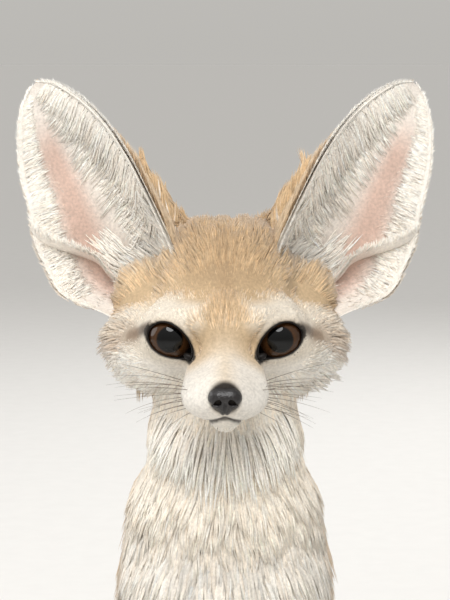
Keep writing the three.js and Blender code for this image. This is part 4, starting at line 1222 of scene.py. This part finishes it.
def ball(rings, sides, axes, ends=0.0):
    """Rings of points on an egg with three half axes, the first through its poles, and the rings' angles."""
    turn = np.linspace(ends, np.pi - ends, rings)[:, None]
    spin = around(sides)[None]
    shares = rows(np.cos(turn), np.sin(turn) * np.cos(spin), np.sin(turn) * np.sin(spin))
    return shares @ np.array(axes), turn


def make_eye(name, side):
    centre, u, v, w = EYE_FRAMES[side]
    rings, sides = 40, 56
    rel, turn = ball(rings, sides, (w, u, v))
    bulge = CORNEA_BULGE * ramp((CORNEA_HALF_ANGLE - turn) / CORNEA_HALF_ANGLE * 1.6)
    rel = rel * (EYE_RADIUS - BALL_ROOM + bulge)[..., None]
    points = from_head((centre + rel).reshape(-1, 3))
    eye = make_mesh(name, points, facing_out(points, lathe_faces(rings, sides)))
    pupil = unit(w + GAZE_TURN * (u * math.cos(EYE_SLANT) + v * math.sin(EYE_SLANT)))
    ring = np.arccos(np.clip(unit(rel.reshape(-1, 3)) @ pupil, -1, 1)) / IRIS_HALF_ANGLE
    ring = np.clip(ring, 0, 1).astype(np.float32)
    eye.data.attributes.new("Ring", "FLOAT", "POINT").data.foreach_set("value", ring)
    belongs(eye, EYE_FINISH, [name.replace("eyeball", "eye")])


def tube(line, radii, sides=8, closed=False):
    """Points and faces of a tube along a line, closed in a ring or with pointed ends."""
    line = np.asarray(line, float)
    heading = unit(np.roll(line, -1, 0) - np.roll(line, 1, 0) if closed else np.gradient(line, axis=0))
    side = unit(np.cross(heading, [0.3, 0.9, 0.31]))
    up = np.cross(side, heading)
    spin = around(sides)
    ring = side[:, None] * np.cos(spin)[None, :, None] + up[:, None] * np.sin(spin)[None, :, None]
    points = (line[:, None] + ring * np.reshape(radii, (-1, 1, 1))).reshape(-1, 3)
    faces = lathe_faces(len(line) + closed, sides) % len(points)
    if closed:
        return points, faces
    tip, last = len(points), (len(line) - 1) * sides
    caps = [[tip, (i + 1) % sides, i] for i in range(sides)]
    caps += [[tip + 1, last + i, last + (i + 1) % sides] for i in range(sides)]
    return np.vstack([points, line[0], line[-1]]), (faces, np.array(caps))


def joined(parts):
    """Several (points, faces or pair of face arrays) as one."""
    points, kinds, start = [], ([], []), 0
    for pts, faces in parts:
        points.append(pts)
        for kind, array in zip(kinds, faces if isinstance(faces, tuple) else (faces,)):
            kind.append(array + start)
        start += len(pts)
    return np.vstack(points), [np.vstack(kind) for kind in kinds if kind]


def lid_rims():
    """A dark edge round each opening, laid on the skin, and the dark gland in its inner corner."""
    near = np.linalg.norm(to_head(skin_points) * [0, 1, 1], axis=1) < RAY_START
    tree = BVHTree.FromPolygons(skin_points.tolist(), skin_quads[near[skin_quads].all(1)].tolist())
    parts = []
    for side in (1, -1):
        centre, u, v, w = EYE_FRAMES[side]
        edge = almond(28)
        wider = edge * (1 + RIM_REACH / np.linalg.norm(edge, axis=1, keepdims=True))
        look = Vector(turn_from_head(-w))
        line = []
        for (a, b), (c, d) in zip(edge, wider):
            hit = tree.ray_cast(Vector(from_head(centre + c * u + d * v + RAY_START * w)), look)
            high = RAY_START - hit[3] if hit[0] is not None else 2.0
            line.append(centre + a * u + b * v + (high - RIM_SINK) * w)
        line = np.array(line)
        for _ in range(4):
            line = line * 0.5 + (np.roll(line, 1, 0) + np.roll(line, -1, 0)) * 0.25
        parts.append(tube(from_head(line), np.full(len(line), RIM_RADIUS), closed=True))
        gland, _ = ball(12, 16, [half * way for half, way in zip(GLAND_SIZE, (u, v, w))], ends=0.02)
        middle = centre + GLAND_AT[0] * u + GLAND_AT[1] * v + ((line[0] - centre) @ w - GLAND_DEEP) * w
        parts.append((from_head((middle + gland).reshape(-1, 3)), lathe_faces(12, 16)))
    belongs(make_mesh("lid_rims", *joined(parts)), DARK_SKIN)


EYE_FINISH = eye_material()
DARK_SKIN = dark_skin("Dark_skin", (0.008, 0.006, 0.005), 0.5, 1500.0, 0.0001, 0.2)
NOSE_FINISH = dark_skin("Nose_skin", (0.012, 0.010, 0.010), 0.32, 1700.0, 0.00018)
make_eye("eyeball_left", 1)
make_eye("eyeball_right", -1)
lid_rims()


# Nose pad, with nostrils that curl out to the sides and a furrow down the middle

NOSE_SLIM = 1.1
NOSE_STEP = 0.22


def nose_field(p):
    q = one_side(p) * [NOSE_SLIM, 1, 1]
    tip, drop = NOSE_TIP, NOSE_DROP
    pad = reach(egg([0, 2 - tip, 0.5 - drop], [6.1, 3.8, 3.7]), q)
    pad = melt(pad, reach(egg([3.5, 2.3 - tip, 0.0 - drop], [3.2, 3.6, 3.6]), q), 2.5)
    pad = melt(pad, reach(egg([0, 2.8 - tip, -3.6 - drop], [2.9, 3.1, 3.4]), q), 2.5)
    hole = reach(bone([2.5, -0.9 - tip, -0.2 - drop], [3.3, 3.2 - tip, -0.2 - drop], 1.15, 1.3), q)
    slit = reach(bone([3.4, -0.5 - tip, -0.6 - drop], [6.6, 1.4 - tip, -1.7 - drop], 0.95, 0.6), q)
    hollow = melt(hole, slit, 1.0)
    near = np.maximum(0.9 - np.abs(pad + hollow), 0) / 0.9
    pad = np.maximum(pad, -hollow) + near * near * 0.22
    return pad + 0.55 * np.exp(-((p[:, 0] / 0.55) ** 2)) * ramp((0.5 - drop - p[:, 2]) / 2)


def make_nose():
    axes = [np.arange(low, high, NOSE_STEP) for low, high in ((-8.5, 8.5), (-45.5, -32), (-19.5, -3))]
    points, quads = surface(nose_field, *axes)
    points = from_head(points)
    belongs(make_mesh("nose_pad", points, facing_out(points, quads)), NOSE_FINISH, ["nose"])


make_nose()


# Ears' own meshes and hair


def ear_relief(v, across):
    """Low ridges that run up the inside of the cup, and the hollow between them, in millimetres."""
    fade = past(v, 0.16, 0.3) * short_of(v, 1.05, 0.2)
    ridges = 0.9 * np.exp(-(((across + 0.02) / 0.10) ** 2)) + 0.7 * np.exp(-(((across - 0.34) / 0.09) ** 2))
    return fade * (ridges - 0.35)


def ear_shell(side):
    """The cup's points, its faces of four and of three, and each point's v, across and 1 where inside."""
    rings, sides = 84, 60
    v = EAR_END * np.linspace(0.002, 1, rings)[:, None] ** 1.25
    spin = around(sides)[None]
    across, rim = np.cos(spin), np.abs(np.cos(spin))
    swell = np.sign(np.sin(spin)) * np.abs(np.sin(spin)) ** 0.45
    thick = EAR_THICKNESS / 2 * mix(0.75, 1.0, short_of(rim, 1, 0.4))
    rolled = 0.9 * past(rim, 0.86, 0.14) * past(v, 0.02, 0.1)
    depth = swell * thick + ear_relief(v, across) * ramp(swell) + rolled
    points = from_head(ear_point(side, v, across, depth).reshape(-1, 3))
    half, base = sides // 2, (rings - 1) * sides
    quads = np.array([[i, sides - i, sides - i - 1, i + 1] for i in range(1, half - 1)])
    tris = np.array([[0, sides - 1, 1], [half - 1, half + 1, half]])
    quads = np.vstack([lathe_faces(rings, sides), quads, base + quads[:, [0, 3, 2, 1]]])
    tris = np.vstack([tris, base + tris[:, [0, 2, 1]]])
    if side < 0:
        quads, tris = quads[:, ::-1], tris[:, ::-1]
    v, across, inside = (a.ravel() for a in np.broadcast_arrays(v, across, (swell > 0).astype(float)))
    return points, (facing_out(points, quads), tris), (v, across, inside)


def fold_place(side, u):
    """The fold at the outer rim, u being 0 at its top: v, across, height, base, ways in and over."""
    v, across = mix(0.6, 1.12, u), 1 - 0.62 * ramp(u / 0.6)
    tall = FOLD_HEIGHT * np.sin(np.pi * np.clip(0.06 + u * 0.9, 0, 1)) ** 0.8
    base = ear_point(side, v, across, 0)
    inward = ear_point(side, v, across, 1) - base
    return v, across, tall, base, inward, unit(ear_point(side, v, across + 0.05, 0) - base)


def ear_fold(side):
    rings, sides = 40, 14
    u = np.linspace(0.004, 0.996, rings)[:, None]
    spin = around(sides)[None]
    v, across, tall, base, inward, over = fold_place(side, u)
    rise = np.maximum(tall * (np.sin(spin) + 0.8) / 1.8, -EAR_THICKNESS / 4)
    wide = np.cos(spin) * 0.8 * np.sin(np.pi * u) ** 0.35 - FOLD_CURL * (rise / FOLD_HEIGHT) ** 2
    points = from_head((base + inward * rise[..., None] + over * wide[..., None]).reshape(-1, 3))
    faces = facing_out(points, lathe_faces(rings, sides))
    return points, faces, (v.repeat(sides), across.repeat(sides), np.ones(len(points)))


def ear_colour(v, across, inside):
    """Pale within, pinkish where the hair is thin, with painted shade deep in the cup near the foot; sandy
    behind, with a paler rim.
    """
    v, across = v[:, None], across[:, None]
    bare = past(across, 0.02, 0.3) * short_of(across, 0.74, 0.27) * past(v, 0.09, 0.25)
    within = mix(WHITE * 0.86 + PINK * 0.1, PINK * 0.9, 0.72 * bare)
    # painted shade: brown deep in the middle of the cup, towards the ear's foot
    deep_shade = 0.55 * past(v, 0.72, 0.3) * short_of(np.abs(across + 0.1), 0.5, 0.3)
    within = mix(within, BROWN * 0.9, deep_shade)
    behind = mix(SAND, SAND_DARK, 0.35 * past(v, 0.3, 0.5))
    rim = past(np.abs(across), 0.86, 0.1)
    behind = mix(behind, WHITE, 0.9 * rim)
    within = mix(within, WHITE, 0.9 * rim)
    return mix(behind, within, inside[:, None])


def ear_frame_at(side, v, across, face):
    """On a face of the shell: root, normal and the lies towards its tip and its outer rim."""
    depth = face * EAR_THICKNESS / 2
    at = ear_point(side, v, across, depth)
    up = unit(ear_point(side, v - 0.01, across, depth) - at)
    over = unit(ear_point(side, v, across + 0.02, depth) - at)
    out = unit(ear_point(side, v, across, depth + face) - at)
    return from_head(at), *(turn_from_head(k) for k in (out, up, over))


def fold_hair(side, many):
    """A plan for short hair on both faces of the fold at the outer rim."""
    v, across, tall, base, inward, over = fold_place(side, rng.random(many))
    height = (tall * mix(0.25, 1.0, np.sqrt(rng.random(many))))[:, None]
    face = np.where(rng.random(many) < 0.5, -1.0, 1.0)[:, None]
    inward = unit(inward)
    up = unit(ear_point(side, v - 0.02, across, 0) - base)
    root = base + inward * height + over * (face * 0.6 - FOLD_CURL * (height / FOLD_HEIGHT) ** 2)
    return {
        "root": from_head(root), "normal": turn_from_head(over * face),
        "lie": turn_from_head(unit(inward + up * 0.7)), "length": 3.4, "width": 0.5, "lift": 16.0,
        "sway": 0.25, "colour": WHITE, "pull": 0.3, "droop": 0.02, "root_shade": 0.95,
        "unwrap": rows(0.5 + across / 8, v / EAR_END),
    }


def shell_hair(side, many, v_range, across_range, face, lie, length, width, lift, colour, pull,
               power=1.0, **more):
    """A plan for hair on a face of the shell, that lies towards its tip and its outer rim by lie's shares."""
    v = mix(*v_range, rng.random(many) ** power)
    across = mix(*across_range, rng.random(many))
    root, out, up, over = ear_frame_at(side, v, across, face)
    return {
        "root": root, "normal": out, "lie": unit(up * lie[0] + over * lie[1]),
        "length": length(v) if callable(length) else length, "width": width, "lift": lift,
        "colour": colour(v, across) if callable(colour) else colour, "pull": pull,
        "unwrap": rows(across / 4 + (0.25 if face > 0 else 0.75), np.clip(v / EAR_END, 0, 1)),
        "droop": 0.02, "root_shade": 0.97, "sway": 0.2, **more,
    }


def swelling(size):
    """Length of hair that shortens towards the ear's tip."""
    return lambda v: size * ear_swell(v) ** 0.5


def deep_colour(v, across):
    return mix(ear_colour(v, across, np.ones(len(v))), WHITE, 0.25)


def ear_hair(side):
    """Plans for the hair of one ear: name, segments of a tuft, plan."""
    rows_of_hair = [
        ("long", 3, 1500, (0.03, 1.0), (-0.9, -0.66), 1, (-0.22, 1.0), swelling(17), 0.7, 13, WHITE, 0.3,
         {"droop": 0.05, "root_shade": 1.0}),
        ("mid", 2, 1350, (0.04, 1.05), (-0.75, -0.16), 1, (-0.15, 1.0), swelling(11), 0.6, 11, WHITE, 0.22,
         {"root_shade": 1.0}),
        ("deep", 1, 1500, (0.03, 1.1), (-0.4, 0.85), 1, (0.5, 0.35), 3.2, 0.42, 11, deep_colour, 0.3, {}),
        ("outer", 2, 1500, (0.04, 1.0), (0.76, 0.98), 1, (0.15, -1.0), swelling(6.5), 0.55, 17, WHITE, 0.35,
         {}),
        ("foot", 3, 800, (0.84, 1.2), (-0.9, 0.3), 1, (1.0, 0.25), 13, 0.7, 22, WHITE * 0.98, 0.45, {}),
        ("band", 1, 1800, (0.02, 1.02), (-0.99, -0.86), 1, (1.0, -0.12), 3.4, 0.6, 9, LOCK_WHITE, 0.1,
         {"root_shade": 1.0, "sway": 0.08}),
    ]
    for edge, colour in ((-1, WHITE), (1, mix(WHITE, SAND, 0.35))):
        place = (0.004, 1.1), (edge * 0.9, edge * 1.0)
        rows_of_hair += [
            ("rim", 1, 1300, *place, 1, (0.9, edge * 0.45), 2.6, 0.42, 16, WHITE, 0.2, {}),
            ("edge", 1, 1500, *place, -1, (1.0, edge * 0.3), 2.8, 0.45, 12, colour, 0.2, {"root_shade": 1.0}),
        ]
    rows_of_hair += [
        ("back", 1, 5600, (0.01, 1.15), (-0.97, 0.97), -1, (1.0, 0.0),
         lambda v: 3.4 + 2.0 * past(v, 0.6, 0.4), 0.66, 14, mix(SAND, SAND_DARK, 0.35), 0.12,
         {"tip_colour": SAND, "root_shade": 0.8, "sway": 0.1}),
        ("ruffle", 2, 1600, (0.42, 1.12), (-0.97, -0.4), -1, (1.0, -0.5),
         lambda v: 3 + 7 * past(v, 0.4, 0.3), 0.75, 24, mix(SAND, SAND_DARK, 0.25), 0.35,
         {"tip_colour": mix(SAND, CREAM, 0.3), "power": 0.8, "root_shade": 0.8}),
    ]
    plans = [(name, segments, shell_hair(side, *row, **more)) for name, segments, *row, more in rows_of_hair]
    return [*plans, ("fold", 2, fold_hair(side, 900))]


def through_shell(root, tip):
    return in_cup(tip, 0.5, 1.3)


def make_ears():
    for side, name in ((1, "left"), (-1, "right")):
        points, faces, places = ear_shell(side)
        fold_points, fold_faces, fold_places = ear_fold(side)
        colours = [ear_colour(*places), mix(ear_colour(*fold_places), WHITE, 0.5)]
        shell = make_mesh("ear_shell_" + name, *joined([(points, faces), (fold_points, fold_faces)]))
        paint(shell, np.clip(np.vstack(colours), DARKEST, LIGHTEST))
        belongs(shell, EAR_FINISH)
        for k, (part, segments, plan) in enumerate(ear_hair(side)):
            avoid = through_shell if part in ("back", "ruffle", "edge") else None
            coat(f"ear_{part}_{name}_{k}", plan, "ear", segments, lift_floor=False, avoid=avoid,
                 clump_every=9, sink=0.15)


EAR_FINISH = fur_material("Ear_skin", bump=0.35, rough=0.55, sheen=0.2)
make_ears()


# Whiskers, claws

WHISKER_FINISH = dark_skin("Whisker", (0.15, 0.115, 0.085), 0.4, 900.0, 0.00002)
CLAW_FINISH = dark_skin("Claw", (0.09, 0.062, 0.042), 0.35, 500.0, 0.00005)
WHISKER_LENGTHS = 22, 37
CLAW_ROOTS = ((42, -13), (19.5, -51))  # x and y at the middle of each foot's toes


def make_whiskers():
    parts = []
    s = np.linspace(0, 1, 12)[:, None]
    for side in (1, -1):
        for i, root in enumerate(WHISKER_ROOTS):
            row, k = divmod(i, 4)
            length = mix(*WHISKER_LENGTHS, k / 3) * rng.uniform(0.88, 1.12) * (1 - 0.08 * row)
            rise = mix(0.18, -0.30, row / 3) + rng.normal(0, 0.07)
            way = unit(np.array([1.0, mix(-0.12, 0.45, k / 3), rise]))
            bend = np.array([0, 0.12, -0.20]) + rng.normal(0, 0.05, 3)
            line = (root - way * 2) + way * s * length + bend * s ** 2 * length
            parts.append(tube(from_head(line * [side, 1, 1]), mix(0.15, 0.03, s[:, 0]), sides=5))
    belongs(make_mesh("whiskers", *joined(parts)), WHISKER_FINISH)


def make_claws():
    s = np.linspace(0, 1, 10)[:, None]
    parts = []
    for side in (1, -1):
        for x, y in CLAW_ROOTS:
            for offset, back in zip(TOES, TOE_SETBACK):
                start = np.array([side * (x + offset), y + back + 4.5, 5.2])
                line = start + s * [0, -8.2, -2.2] + s ** 2 * [0, 0.6, -1.6]
                parts.append(tube(line, mix(1.15, 0.12, s[:, 0] ** 1.4)))
    belongs(make_mesh("claws", *joined(parts)), CLAW_FINISH)


make_whiskers()
make_claws()


# Stage: pale floor and sky, soft studio light, and the camera at the drawing's view

FLOOR_COLOUR = (0.80, 0.785, 0.76)
SKY_COLOUR = (0.88, 0.87, 0.85)
SKY_STRENGTH = 0.72
HORIZON_COLOUR = (0.696, 0.678, 0.643)  # what the far floor looks like
KEY_ELEVATION = math.radians(48)
CAMERA_DISTANCE = 0.80
CAMERA_ELEVATION = math.radians(8)
MM_PER_PIXEL = 0.385
IMAGE_HEIGHT = 600
EYES_BELOW_MIDDLE = 37  # pixels
SENSOR = 36.0
FLOOR_HALF = 40.0


def make_floor():
    mesh = bpy.data.meshes.new("floor")
    corners = [(x * FLOOR_HALF, y * FLOOR_HALF, 0) for x, y in ((-1, -1), (1, -1), (1, 1), (-1, 1))]
    mesh.from_pydata(corners, [], [(0, 1, 2, 3)])
    floor = bpy.data.objects.new("floor", mesh)
    bpy.context.scene.collection.objects.link(floor)
    material, tree, shader, place = plain_material("Floor")
    shade = mottle(tree, noise(tree, place, 60.0), 0.985, 1.01)
    feed(tree, shader, {"Base Color": tinted(tree, FLOOR_COLOUR, shade), "Roughness": 0.9})
    floor.data.materials.append(material)


def make_sky():
    sky = bpy.data.worlds.new("sky")
    sky.use_nodes = True
    tree = sky.node_tree
    split = node(tree, "SeparateXYZ", {0: node(tree, "TexCoord").outputs["Generated"]})
    height = node(tree, "MapRange", {"Value": split.outputs["Z"], "From Min": 0.0, "From Max": 0.5})
    ends = {"A": (*HORIZON_COLOUR, 1), "B": (*SKY_COLOUR, 1), "Factor": height.outputs[0]}
    blend = node(tree, "Mix", ends, data_type="RGBA")
    feed(tree, tree.nodes["Background"], {"Color": blend.outputs["Result"], "Strength": SKY_STRENGTH})
    bpy.context.scene.world = sky


def put(name, data, at, aim):
    """A lamp or camera at a place, turned to look at aim."""
    thing = bpy.data.objects.new(name, data)
    thing.location = at
    thing.rotation_mode = "QUATERNION"
    thing.rotation_quaternion = (aim - at).to_track_quat("-Z", "Y")
    bpy.context.scene.collection.objects.link(thing)
    return thing


def lamp(name, way, size, power, aim):
    data = bpy.data.lights.new(name, "AREA")
    data.shape = "DISK"
    data.size = size
    data.energy = power
    put(name, data, aim + way, aim)


def make_camera_and_light():
    eyes = Vector(world(EYE_MIDDLE))
    ahead = Vector((0, math.cos(CAMERA_ELEVATION), -math.sin(CAMERA_ELEVATION)))
    up = Vector((0, math.sin(CAMERA_ELEVATION), math.cos(CAMERA_ELEVATION)))
    data = bpy.data.cameras.new("camera")
    data.sensor_width = SENSOR
    data.lens = SENSOR * CAMERA_DISTANCE / (IMAGE_HEIGHT * MM_PER_PIXEL / 1000)
    data.clip_start, data.clip_end = 0.01, 200
    aim = eyes + up * (EYES_BELOW_MIDDLE * MM_PER_PIXEL / 1000)
    bpy.context.scene.camera = put("camera", data, eyes - ahead * CAMERA_DISTANCE, aim)
    key = Vector((-0.04, -math.cos(KEY_ELEVATION), math.sin(KEY_ELEVATION))) * 1.05
    lamp("key", key, 0.64, 9, eyes)
    lamp("side", Vector((-1.5, 0.35, 0.6)), 1.2, 9, eyes)
    lamp("back", Vector((0.5, 1.4, 0.9)), 0.9, 9, eyes)
    bpy.context.scene.view_settings.view_transform = "Standard"


make_floor()
make_sky()
make_camera_and_light()
